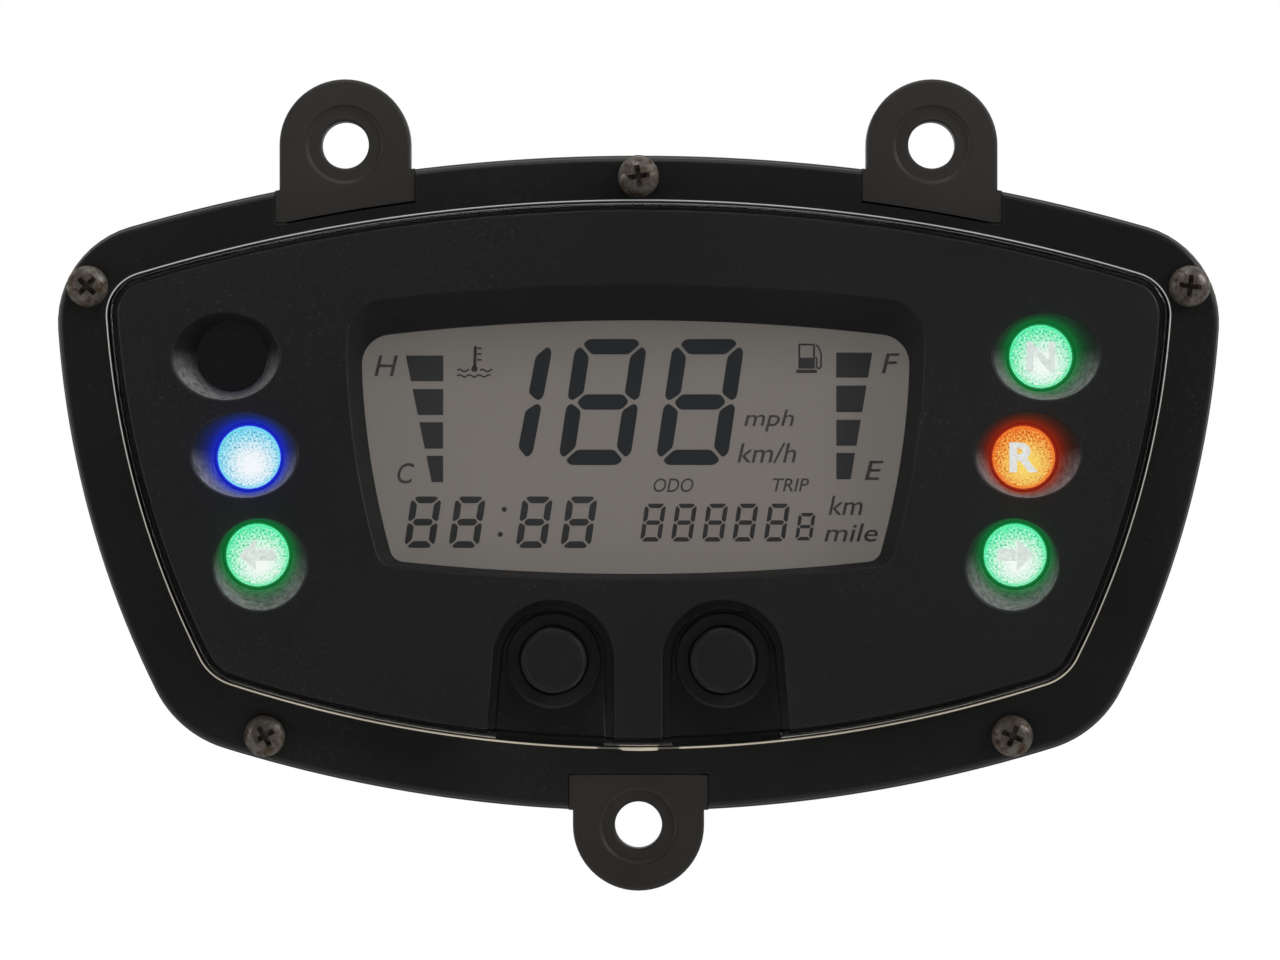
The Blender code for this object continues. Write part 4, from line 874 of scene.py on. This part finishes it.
def build_mask():
    """The dial mask: a plate and skirt swept round the lens outline, with six lamp wells, the
    display's hood and an arch behind each button cut through it."""
    plate = [(-3.65, MASK_FRONT + 1.5), (-3.05, MASK_BACK), (-1.85, MASK_BACK), (-1.7, MASK_FRONT),
             (-5.5, MASK_FRONT)]
    mask = swept("dial_mask_plate", LENS, plate, [0, 0, 0, 0.25, 0])
    within = MASK_FRONT + 0.9
    outer = np.concatenate([WINDOW_RIM.sweep([(1.0, within)]), WINDOW_BASE.sweep([(1.0, WINDOW_FLOOR)])])
    combine(mask, "UNION", skin("window_wall", outer))
    for lamp in LAMPS:
        combine(mask, "UNION", skin("well_wall", well_rings(lamp, 1.0)))
    for side in SIDES:
        wall = straight("arch_wall", arch_path(side, ARCH_RADIUS + 1.5), within, ARCH_FLOOR)
        combine(wall, "INTERSECT", straight("inside", LENS, 0.0, MASK_FRONT - 1.0, offset=-2.75))
        combine(mask, "UNION", wall)
    lip = sizes().well_lip / MM
    turn = np.linspace(0.0, math.pi / 2, 6)
    mouth = np.stack([lip * (1 - np.sin(turn)), MASK_FRONT + lip * (1 - np.cos(turn))], axis=-1)
    mouth = np.concatenate([[(lip, MASK_FRONT - 1.0)], mouth])
    window = [WINDOW_RIM.sweep(mouth), WINDOW_BASE.sweep([(0.0, WINDOW_FLOOR), (0.0, WINDOW_FLOOR + 0.6)])]
    combine(mask, "DIFFERENCE", skin("window", np.concatenate(window)))
    for lamp in LAMPS:
        combine(mask, "DIFFERENCE", skin("well", well_rings(lamp)))
    for side in SIDES:
        arch = [(0.15, MASK_FRONT - 1.0), (0.15, MASK_FRONT - 0.01), (0.0, MASK_FRONT + 0.15),
                (0.0, ARCH_FLOOR - 0.2)]
        hole = straight("hole", disc_path(BUTTONS[side], BOOT_HOLE), -5.0, MASK_BACK + 1.0)
        combine(mask, "DIFFERENCE", swept("arch", arch_path(side, ARCH_RADIUS), arch))
        combine(mask, "DIFFERENCE", hole)
    return place(mask, "mask_plastic", nodes=["dial_mask"])


# ---- display ----------------------------------------------------------------------------------------
def plates(name, outlines, front, thickness):
    """Thin plates from closed (x, z) outlines: each outline at the front and again behind it."""
    points, faces, start = [], [], 0
    for outline in outlines:
        flat = np.asarray(outline, float)
        count = len(flat)
        points += [np.stack([flat[:, 0], np.full(count, y), flat[:, 1]], axis=-1)
                   for y in (front, front + thickness)]
        ring = np.arange(count)
        beside = (ring + 1) % count
        sides = np.stack([ring, beside, beside + count, ring + count], axis=-1) + start
        faces += sides.tolist() + [(ring + start).tolist(), (ring + count + start).tolist()]
        start += 2 * count
    return new_object(name, np.concatenate(points), faces)


def slanted(outline, corner, slant):
    """An outline moved to its corner and leaned over: x grows by slant times the height."""
    flat = np.asarray(outline, float)
    return np.stack([corner[0] + flat[:, 0] + slant * flat[:, 1], corner[1] + flat[:, 1]], axis=-1)


def seven_segments(corner, width, height, stroke, gap, lit="abcdefg", slant=0.15):
    """A digit of slanted segments. Each is drawn once and mirrored in the digit's middle lines."""
    w, h, t, g, c = width, height, stroke, gap / 2, 0.8 * stroke
    top = [(c / 2 + g, h - c / 2 + g), (c, h), (w - c, h), (w - c / 2 - g, h - c / 2 + g),
           (w - t - 2 * g, h - t), (t + 2 * g, h - t)]
    left = [(c / 2 - g, h - c / 2 - g), (0.0, h - c), (0.0, h / 2 + g + 0.25 * t), (0.3 * t, h / 2 + g),
            (t, h / 2 + t / 2 + g), (t, h - t - 2 * g)]
    middle = [(0.5 * t + 2 * g, h / 2), (t + g, h / 2 + t / 2), (w - t - g, h / 2 + t / 2),
              (w - 0.5 * t - 2 * g, h / 2), (w - t - g, h / 2 - t / 2), (t + g, h / 2 - t / 2)]
    top, left, middle = (np.array(part) for part in (top, left, middle))
    across, over = np.array([(-1.0, 1.0), (w, 0.0)]), np.array([(1.0, -1.0), (0.0, h)])
    shapes = {"a": top, "f": left, "g": middle, "b": left * across[0] + across[1], "d": top * over[0] + over[1],
              "e": left * over[0] + over[1], "c": (left * across[0] + across[1]) * over[0] + over[1]}
    return [slanted(soften(shapes[key], 0.22 * t, 3, closed=True), corner, slant) for key in lit]


def level_bars(edge_x, tips, heights):
    """Four bars against a straight edge, their far ends cut along one slanted line."""
    slope = (tips[1] - tips[0]) / (heights[-1][1] - heights[0][0])
    bars = []
    for low, high in heights:
        far = [tips[0] + slope * (z - heights[0][0]) for z in (low, high)]
        bars.append(np.array([(edge_x, low), (far[0], low), (far[1], high), (edge_x, high)]))
    return bars


def ribbon(points, width):
    """A line of even width through points: each point moved half the width to either side."""
    line = np.asarray(points, float)
    along = np.gradient(line, axis=0)
    along /= np.linalg.norm(along, axis=1)[:, None]
    aside = np.stack([-along[:, 1], along[:, 0]], axis=-1) * width / 2
    return np.concatenate([line + aside, (line - aside)[::-1]])


def round_dot(centre, radius, steps=20):
    angle = np.linspace(0.0, 2 * math.pi, steps, endpoint=False)
    return np.stack([centre[0] + radius * np.cos(angle), centre[1] + radius * np.sin(angle)], axis=-1)


def thermometer_icon():
    """A thermometer with marks, over two waves that follow a sine."""
    def wave(first, last, height):
        x = np.linspace(first, last, 24)
        return ribbon(np.stack([x, height + 0.16 * np.sin((x - first) * 4.6)], axis=-1), 0.22)

    stem = ribbon([(-22.95, 16.5), (-22.85, 19.4)], 0.42)
    marks = [ribbon([(-22.6, z), (-21.95, z)], 0.24) for z in (19.1, 18.3, 17.5)]
    return [wave(-25.4, -20.7, 15.25), wave(-25.4, -23.7, 16.0), wave(-22.2, -20.5, 16.0), stem,
            round_dot((-22.98, 16.25), 0.45), *marks]


def pump_icon():
    """A fuel pump: a body with a window, a foot and a hose that follows an arc."""
    bars = [(22.4, 24.7, 16.25, 17.8), (22.4, 22.65, 17.85, 19.75), (24.45, 24.7, 17.85, 19.75),
            (22.7, 24.4, 19.5, 19.75), (22.1, 25.0, 15.65, 16.1)]
    angle = np.linspace(-math.pi, 0.0, 12)
    hose = np.stack([25.25 + 0.3 * np.cos(angle), 16.6 + 0.3 * np.sin(angle)], axis=-1)
    hose = np.concatenate([[(24.8, 17.9), (24.95, 17.7)], hose, [(25.6, 18.3), (25.25, 19.2), (24.85, 19.6)]])
    return [np.array([(a, c), (b, c), (b, d), (a, d)]) for a, b, c, d in bars] + [ribbon(hose, 0.22)]


def lettering(words, front, thickness, lean=0.22, weight=0.0):
    """Text meshes fitted to their (low x, low z, high x, high z) boxes, as thin closed plates."""
    parts = []
    for text, box in words:
        curve = bpy.data.curves.new("letters", "FONT")
        curve.body, curve.shear, curve.offset, curve.resolution_u = text, lean, weight, 4
        source = bpy.data.objects.new("letters", curve)
        bpy.context.scene.collection.objects.link(source)
        curve.extrude = 0.5
        graph = bpy.context.evaluated_depsgraph_get()
        mesh = bpy.data.meshes.new_from_object(source.evaluated_get(graph))
        bpy.data.objects.remove(source)
        points = np.empty(len(mesh.vertices) * 3)
        mesh.vertices.foreach_get("co", points)
        points = points.reshape(-1, 3)
        low, high = points.min(axis=0), points.max(axis=0)
        share = (points - low) / (high - low)
        placed = np.stack([box[0] + share[:, 0] * (box[2] - box[0]), front + (1 - share[:, 2]) * thickness,
                           box[1] + share[:, 1] * (box[3] - box[1])], axis=-1)
        parts.append(new_object("letters", placed, [list(face.vertices) for face in mesh.polygons]))
    return merged("letters", *parts)


def build_display():
    """The display's digits, bars, marks and letters, as thin plates just in front of its ground."""
    thick = sizes().segment_thickness / MM
    front = LCD_FRONT - thick - 0.01
    digits = seven_segments((-25.2, 2.8), 10.06, 17.6, 2.15, 0.3, "bc", slant=0.19)
    for x in (-11.34, 2.28):
        digits += seven_segments((x, 2.8), 10.06, 17.6, 2.15, 0.3)
    place(plates("speed_digits", digits, front, thick), "segment_dark")
    left = level_bars(-27.35, (-28.95, -32.6), [(0.4, 4.1), (5.1, 8.8), (9.8, 13.4), (14.5, 18.1)])
    right = level_bars(27.7, (29.7, 32.75), [(0.8, 4.5), (5.5, 9.15), (10.2, 13.9), (15.0, 18.5)])
    place(plates("level_bars", left + right, front, thick), "segment_bar")
    clock = []
    for x in (-32.85, -26.65, -17.25, -11.0):
        clock += seven_segments((x, -8.8), 4.25, 7.2, 0.95, 0.2)
    clock += [round_dot((-18.8, -3.4), 0.36), round_dot((-19.35, -6.9), 0.36)]
    for x in (0.17, 4.5, 8.85, 13.1, 17.5):
        clock += seven_segments((x, -7.9), 2.95, 5.3, 0.62, 0.14)
    clock += seven_segments((21.9, -7.75), 2.35, 3.85, 0.5, 0.12)
    place(plates("clock_and_distance_digits", clock, front, thick), "segment_bar")
    place(plates("display_icons", thermometer_icon() + pump_icon(), front, thick), "segment_bar")
    words = [("H", (-37.0, 15.2, -33.7, 18.1)), ("C", (-33.75, 0.2, -31.4, 3.1)),
             ("F", (34.05, 15.6, 36.55, 18.4)), ("E", (31.65, 0.7, 34.3, 3.4)),
             ("mph", (14.8, 7.5, 21.8, 10.55)), ("km/h", (13.85, 3.1, 22.1, 5.9)),
             ("ODO", (2.1, -1.0, 7.7, 0.95)), ("TRIP", (18.8, -0.9, 23.9, 0.93)),
             ("km", (26.6, -4.2, 31.4, -1.5)), ("mile", (26.0, -7.95, 33.5, -5.4))]
    letters = lettering(words, front, thick, weight=0.004)
    letters.name = "display_letters"
    place(letters, "segment_faint")


# ---- lamps ------------------------------------------------------------------------------------------
def disc_radius():
    low, high = span("neutral_lamp_disc", 0)
    return (high - low) / 2


def build_lamp(lamp):
    """A lamp's disc, turned from a profile with a slightly crowned face, with its own face map:
    u and v are 0.5 plus the distance from its middle over its width."""
    radius = disc_radius()
    centre = lamp_centre(lamp)
    share = np.linspace(0.0, 1.0, 14)
    face = np.stack([-radius + 0.05 + share * (4.6 - 0.05), DISC_FRONT + 0.12 * share**2], axis=-1)
    rim = [(-0.1, DISC_FRONT + 0.12), (0.0, DISC_FRONT + 0.22), (0.0, DISC_BACK)]
    disc = skin(f"{lamp}_lamp_face", disc_path(centre, radius, 64).sweep(np.concatenate([face, rim])))
    layer = disc.data.uv_layers.new(name="face")
    corners = np.empty(len(disc.data.loops), int)
    disc.data.loops.foreach_get("vertex_index", corners)
    points = np.empty(len(disc.data.vertices) * 3)
    disc.data.vertices.foreach_get("co", points)
    flat = points.reshape(-1, 3)[corners][:, [0, 2]]
    layer.data.foreach_set("uv", (0.5 + (flat - centre) / (2 * radius)).ravel())
    return place(disc, LAMPS[lamp], nodes=[f"{lamp}_lamp_disc"])


def arrow_outline(centre, sign, size):
    """A block arrow that points to one side."""
    upper = [(0.1, 0.85), (0.1, 0.32), (-0.95, 0.32)]
    lower = [(x, -z) for x, z in reversed(upper)]
    shape = np.array([(1.0, 0.0), *upper, *lower])
    return shape * (sign * size, size) + np.array(centre)


def build_symbols():
    """N and R on their lamps and an arrow on each turn lamp, as thin plates."""
    front = DISC_FRONT - 0.06
    boxes = []
    for text, lamp in (("N", "neutral"), ("R", "reverse")):
        x, z = lamp_centre(lamp)
        boxes.append((text, (x - 2.0, z - 2.1, x + 2.0, z + 2.1)))
    letters = lettering(boxes, front, 0.04, lean=0.0, weight=0.035)
    letters.name = "lamp_letters"
    place(letters, "lamp_symbol")
    arrows = [arrow_outline(lamp_centre(f"turn_{side}"), sign, 2.6) for side, sign in SIDES.items()]
    place(plates("lamp_arrows", arrows, front, 0.04), "lamp_symbol")


# ---- buttons and screws -----------------------------------------------------------------------------
def build_button(side):
    """A cap that slides in its boot, both turned from rounded profiles."""
    centre = BUTTONS[side]
    front = span(f"{side}_button_cap", 1)[0]
    cap_profile = [(-4.9, front + 0.12), (-1.2, front + 0.12), (-0.9, front), (-0.75, front + 0.05),
                   (0.0, -4.6), (-2.55, -4.6), (-2.55, -2.3)]
    cap = swept(f"{side}_button_cap_rubber", disc_path(centre, 4.95, 96), cap_profile,
                [0, 0.15, 0.15, 0.3, 0.15, 0, 0], steps=5)
    place(cap, "black_rubber", body=f"{side}_button", nodes=[f"{side}_button_cap"])
    boot_profile = [(0.0, -2.4), (1.7, -2.4), (1.7, -3.7), (0.6, -3.7), (0.6, -5.9), (1.45, -5.9),
                    (1.45, -7.0), (-0.5, -7.0), (-0.5, -6.5), (0.0, -6.0)]
    boot = swept(f"{side}_button_boot_rubber", disc_path(centre, 5.3, 96), boot_profile,
                 [0, 0.1, 0.1, 0, 0, 0.2, 0.5, 0.25, 0.1, 0], endless=True, steps=5)
    place(boot, "black_rubber", nodes=[f"{side}_button_boot"])


def build_screw(name, number):
    """A case screw: a domed head turned from a rounded profile, its cross slots tapered inwards."""
    centre = screw_centre(name)
    front, end = span(f"{name}_case_screw", 1)
    seat = front + 1.9
    profile = [(-2.85, front), (-1.2, front + 0.12), (0.0, front + 1.1), (0.0, seat), (-1.5, seat),
               (-1.5, end - 1.0), (-2.3, end)]
    screw = swept(f"{name}_case_screw_steel", disc_path(centre, 2.9, 48), profile,
                  [0, 0.9, 0.7, 0.2, 0, 0, 0], steps=5)
    slot = np.array([(-1.65, -0.36), (1.65, -0.36), (1.65, 0.36), (-1.65, 0.36)])
    turn = math.radians(9.0 + 37.0 * number)
    # The second slot is a hair larger, so that no face of one lies in a face of the other.
    for angle, grow in ((turn, 0.0), (turn + math.pi / 2, 0.003)):
        spin = np.array([(math.cos(angle), math.sin(angle)), (-math.sin(angle), math.cos(angle))])
        rings = []
        for size, depth in ((1.25, front - 1.0 - grow), (1.05, front), (0.55, front + 1.35 + grow)):
            flat = (slot * (size, 1.0) * (1.0 + grow)) @ spin + np.array(centre)
            rings.append(np.stack([flat[:, 0], np.full(4, depth), flat[:, 1]], axis=-1))
        combine(screw, "DIFFERENCE", skin("slot", np.stack(rings)))
    return place(screw, "screw_steel", nodes=[f"{name}_case_screw"])


def build_connector():
    """The connector's shell: a rounded box with a rounded mouth, on its ten holes."""
    middle = centre_of("connector_shell")
    (left, right), (front, back), (low, high) = (span("connector_shell", axis) for axis in range(3))
    width, height, wall = right - left, high - low, 1.5
    shell = swept("connector_shell_body", rounded_box_path(middle, width, height, 1.2),
                  [(-1.0, front), (0.0, front), (0.0, back), (-0.8, back)], [0, 0.1, 0.25, 0])
    mouth = swept("mouth", rounded_box_path(middle, width - 2 * wall, height - 2 * wall, 0.8),
                  [(0.0, 11.0), (0.0, back - 0.2), (0.2, back), (0.2, back + 1.0)])
    combine(shell, "DIFFERENCE", mouth)
    for number in range(1, 11):
        hole = rounded_box_path(centre_of(f"connector_pin_{number:02d}"), 1.4, 1.4, 0.2)
        combine(shell, "DIFFERENCE", straight("hole", hole, front - 1.0, 12.0))
    return place(shell, "chip_black", nodes=["connector_shell"])


def dress_nodes():
    """Gives each node that still shows its own procedural finish."""
    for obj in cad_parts.values():
        if obj.hide_render:
            continue
        for slot in obj.material_slots:
            slot.material = finish(slot.material.name.split(".")[0].removesuffix("_finish"))


# ---- stage --------------------------------------------------------------------------------------------
def build_floor():
    """A pale floor well below the cluster, which is a square with a gently rounded edge."""
    path = rounded_box_path((0.0, 0.0), 2200.0, 2200.0, 60.0)
    rings = path.sweep(soften([(0.0, 10.0), (0.0, 0.0), (-30.0, 0.0)], [0, 4.0, 0]))
    floor = skin("floor", rings[:, :, [0, 2, 1]] * (1.0, 1.0, -1.0))
    floor.data.transform(Matrix.Translation((0.0, 0.0, -sizes().floor_drop)) @ Matrix.Scale(MM, 4))
    floor.data.materials.append(finish("floor_paint"))


def light_world():
    """White behind the cluster and dim in front of it, and white all round for the camera."""
    world = bpy.data.worlds.new("studio")
    bpy.context.scene.world = world
    world.use_nodes = True
    t = Tree(world.node_tree)
    depth = t.part(t.position("Generated"), "Y")
    share = t.remap(depth, (0.0, 0.35), (0.04, 0.85), interpolation_type="SMOOTHSTEP")
    seen = t.add("ShaderNodeLightPath").outputs["Is Camera Ray"]
    strength = t.math("MAXIMUM", share, seen)
    ground = t.add("ShaderNodeBackground", {"Color": (1.0, 1.0, 1.0, 1.0), "Strength": strength})
    t.add("ShaderNodeOutputWorld", {"Surface": ground.outputs[0]})


# Each light's name, position, aim, size in metres and power in watts.
SOFTBOXES = [
    ("right softbox", (0.66, -0.32, 0.36), (0.0, 0.0, 0.0), 0.25, 1.6),
    ("left softbox", (-0.72, -0.32, 0.06), (0.0, 0.0, 0.0), 0.25, 0.65),
    ("top softbox", (-0.02, -0.12, 0.27), (0.0, 0.0, 0.02), 0.2, 0.2),
]


def soft_light(name, position, aim, size, power):
    """A square area light at a position, turned towards its aim."""
    light = bpy.data.lights.new(name, "AREA")
    light.size, light.energy = size, power
    obj = bpy.data.objects.new(name, light)
    bpy.context.scene.collection.objects.link(obj)
    start, end = np.array(position), np.array(aim)
    x, y, z = (end - start) / np.linalg.norm(end - start)
    obj.location = position
    obj.rotation_euler = (math.acos(-z), 0.0, math.atan2(y, x) - math.pi / 2)
    return obj


def place_camera():
    """A camera straight in front of the cluster, whose frame is as wide as wanted at the bezel's front."""
    camera = bpy.data.cameras.new("camera")
    camera.sensor_width = 36.0
    camera.lens = 36.0 * sizes().camera_distance / sizes().view_width
    camera.clip_start = 0.01
    obj = bpy.data.objects.new("camera", camera)
    bpy.context.scene.collection.objects.link(obj)
    obj.location = (0.00021, -0.0055 - sizes().camera_distance, 0.0007)
    obj.rotation_euler = (math.pi / 2, 0.0, 0.0)
    bpy.context.scene.camera = obj
    bpy.context.scene.view_settings.view_transform = "Standard"


# ---- what a user may change ---------------------------------------------------------------------------
def length(name, description, default):
    return bpy.props.FloatProperty(name=name, description=description, default=default, min=0.0, precision=5,
                                   unit="LENGTH", subtype="DISTANCE")


def colour(name, description, default):
    return bpy.props.FloatVectorProperty(name=name, description=description, default=default, size=3, min=0.0,
                                         max=1.0, subtype="COLOR")


class ClusterSizes(bpy.types.PropertyGroup):
    """Sizes of the visible detail."""

    edge_rounding: length("Edge rounding", "Rounding of the case's and bezel's edges", 0.0006)
    lens_rise: length("Lens rise", "How far the lens's middle stands out past its edge", 0.0005)
    line_width: length("Edge line width", "Width of the bright line round the lens", 0.00018)
    well_lip: length("Well lip", "Rounding where the mask turns into a well", 0.00035)
    lit_radius: length("Lit radius", "Radius of the lit part of a lamp", 0.00435)
    glow_fade: length("Glow fade", "Distance in which a lamp's glow falls to about a third", 0.0012)
    segment_thickness: length("Segment thickness", "Thickness of the display's segments", 0.00003)
    floor_drop: length("Floor drop", "How far the floor lies below the cluster's middle", 0.32)
    camera_distance: length("Camera distance", "From the camera to the bezel's front", 1.0)
    view_width: length("View width", "Width of the camera's frame at the bezel's front", 0.1792)


class ClusterColours(bpy.types.PropertyGroup):
    """Colours of the finishes."""

    case: colour("Case", "Black plastic of the case", (0.055, 0.050, 0.045))
    bezel: colour("Bezel", "Black plastic of the bezel", (0.018, 0.018, 0.017))
    mask: colour("Mask", "Black plastic of the dial mask", (0.009, 0.009, 0.0095))
    # Painted highlight colour for the lower walls of the lamps' wells, speckled like dust.
    painted_well_light: colour("Hollows", "Painted highlight, speckled like dust, on the lower walls of the lamps' wells", (0.32, 0.32, 0.325))
    rubber: colour("Rubber", "Black rubber of the buttons", (0.009, 0.009, 0.009))
    display: colour("Display ground", "Grey ground of the display", (0.25, 0.225, 0.205))
    segment: colour("Segments", "Dark blue-grey of the display's segments", (0.040, 0.044, 0.050))
    # Colours of the painted glint along the lens's edge, low and high.
    glint_low: colour("Edge line, low", "Bright line along the lens's bottom", (0.62, 0.55, 0.44))
    glint_high: colour("Edge line, high", "Bright line along the lens's top", (0.52, 0.52, 0.52))
    steel: colour("Steel", "Bare metal of the screws", (0.23, 0.21, 0.185))
    rust: colour("Rust", "Rust on the screws", (0.10, 0.055, 0.028))
    blue: colour("Blue lamp", "Tint of the high-beam lamp", (0.16, 0.68, 0.86))
    blue_hot: colour("Blue lamp, bright", "Brightest tint of the high-beam lamp", (0.42, 0.90, 0.95))
    blue_halo: colour("Blue glow", "Glow round the high-beam lamp", (0.008, 0.025, 0.85))
    green: colour("Green lamp", "Tint of the green lamps", (0.09, 0.88, 0.40))
    green_hot: colour("Green lamp, bright", "Brightest tint of the green lamps", (0.40, 0.98, 0.80))
    green_halo: colour("Green glow", "Glow round the green lamps", (0.0, 0.25, 0.045))
    red: colour("Red lamp", "Tint of the reverse lamp", (0.88, 0.17, 0.02))
    red_hot: colour("Red lamp, bright", "Brightest tint of the reverse lamp", (0.92, 0.50, 0.08))
    red_halo: colour("Red glow", "Glow round the reverse lamp", (0.42, 0.018, 0.002))
    red_core: colour("Red lamp, core", "Hottest part of the reverse lamp", (0.95, 0.72, 0.16))
    white_hot: colour("White-hot", "Hottest part of the blue and green lamps", (0.98, 0.98, 0.98))
    symbol: colour("Symbols", "Letters and arrows on the lamps", (0.85, 0.9, 0.88))


# ---- operators and panel ----------------------------------------------------------------------------------
class ClusterCase(bpy.types.Operator):
    """Build the rear case with its ears, bosses and collar"""

    bl_idname = "cluster.case"
    bl_label = "Rear Case"

    def execute(self, context):
        build_case()
        return {"FINISHED"}


class ClusterBezel(bpy.types.Operator):
    """Build the front bezel"""

    bl_idname = "cluster.bezel"
    bl_label = "Front Bezel"

    def execute(self, context):
        build_bezel()
        return {"FINISHED"}


class ClusterLens(bpy.types.Operator):
    """Build the clear lens and the painted glint at its edge"""

    bl_idname = "cluster.lens"
    bl_label = "Lens"

    def execute(self, context):
        build_lens()
        build_painted_edge_glint()
        return {"FINISHED"}


class ClusterMask(bpy.types.Operator):
    """Build the dial mask with its wells and window"""

    bl_idname = "cluster.mask"
    bl_label = "Dial Mask"

    def execute(self, context):
        build_mask()
        return {"FINISHED"}


class ClusterDisplay(bpy.types.Operator):
    """Build the display's digits, bars, icons and letters"""

    bl_idname = "cluster.display"
    bl_label = "Display"

    def execute(self, context):
        build_display()
        return {"FINISHED"}


class ClusterLamps(bpy.types.Operator):
    """Build the six lamps and their symbols"""

    bl_idname = "cluster.lamps"
    bl_label = "Lamps"

    def execute(self, context):
        for lamp in LAMPS:
            build_lamp(lamp)
        build_symbols()
        return {"FINISHED"}


class ClusterButtons(bpy.types.Operator):
    """Build the two push buttons and their boots"""

    bl_idname = "cluster.buttons"
    bl_label = "Buttons"

    def execute(self, context):
        for side in SIDES:
            build_button(side)
        return {"FINISHED"}


class ClusterScrews(bpy.types.Operator):
    """Build the five case screws"""

    bl_idname = "cluster.screws"
    bl_label = "Screws"

    def execute(self, context):
        for number, name in enumerate(CASE_SCREWS):
            build_screw(name, number)
        return {"FINISHED"}


class ClusterConnector(bpy.types.Operator):
    """Build the connector's shell"""

    bl_idname = "cluster.connector"
    bl_label = "Connector"

    def execute(self, context):
        build_connector()
        return {"FINISHED"}


class ClusterInside(bpy.types.Operator):
    """Give the pieces that come straight from the frame their finishes"""

    bl_idname = "cluster.inside"
    bl_label = "Inner Pieces"

    def execute(self, context):
        dress_nodes()
        return {"FINISHED"}


class ClusterStage(bpy.types.Operator):
    """Build the floor, the lights and the camera"""

    bl_idname = "cluster.stage"
    bl_label = "Stage"

    def execute(self, context):
        build_floor()
        light_world()
        for softbox in SOFTBOXES:
            soft_light(*softbox)
        place_camera()
        return {"FINISHED"}


OPERATORS = [ClusterCase, ClusterBezel, ClusterLens, ClusterMask, ClusterDisplay, ClusterLamps,
             ClusterButtons, ClusterScrews, ClusterConnector, ClusterInside, ClusterStage]


class ClusterPanel(bpy.types.Panel):
    """Sizes, colours and pieces of the instrument cluster"""

    bl_idname = "VIEW3D_PT_cluster"
    bl_label = "Instrument Cluster"
    bl_space_type = "VIEW_3D"
    bl_region_type = "UI"
    bl_category = "Cluster"

    def draw(self, context):
        for group in (context.scene.cluster_sizes, context.scene.cluster_colours):
            box = self.layout.box()
            for name in group.__annotations__:
                box.prop(group, name)
        for operator in OPERATORS:
            self.layout.operator(operator.bl_idname)


CLASSES = [ClusterSizes, ClusterColours, *OPERATORS, ClusterPanel]


def register():
    for cls in CLASSES:
        bpy.utils.register_class(cls)
    bpy.types.Scene.cluster_sizes = bpy.props.PointerProperty(type=ClusterSizes)
    bpy.types.Scene.cluster_colours = bpy.props.PointerProperty(type=ClusterColours)


def unregister():
    del bpy.types.Scene.cluster_sizes
    del bpy.types.Scene.cluster_colours
    for cls in reversed(CLASSES):
        bpy.utils.unregister_class(cls)


def main():
    register()
    bpy.ops.cluster.case()
    bpy.ops.cluster.bezel()
    bpy.ops.cluster.lens()
    bpy.ops.cluster.mask()
    bpy.ops.cluster.display()
    bpy.ops.cluster.lamps()
    bpy.ops.cluster.buttons()
    bpy.ops.cluster.screws()
    bpy.ops.cluster.connector()
    bpy.ops.cluster.inside()
    bpy.ops.cluster.stage()


if __name__ == "__main__":
    main()
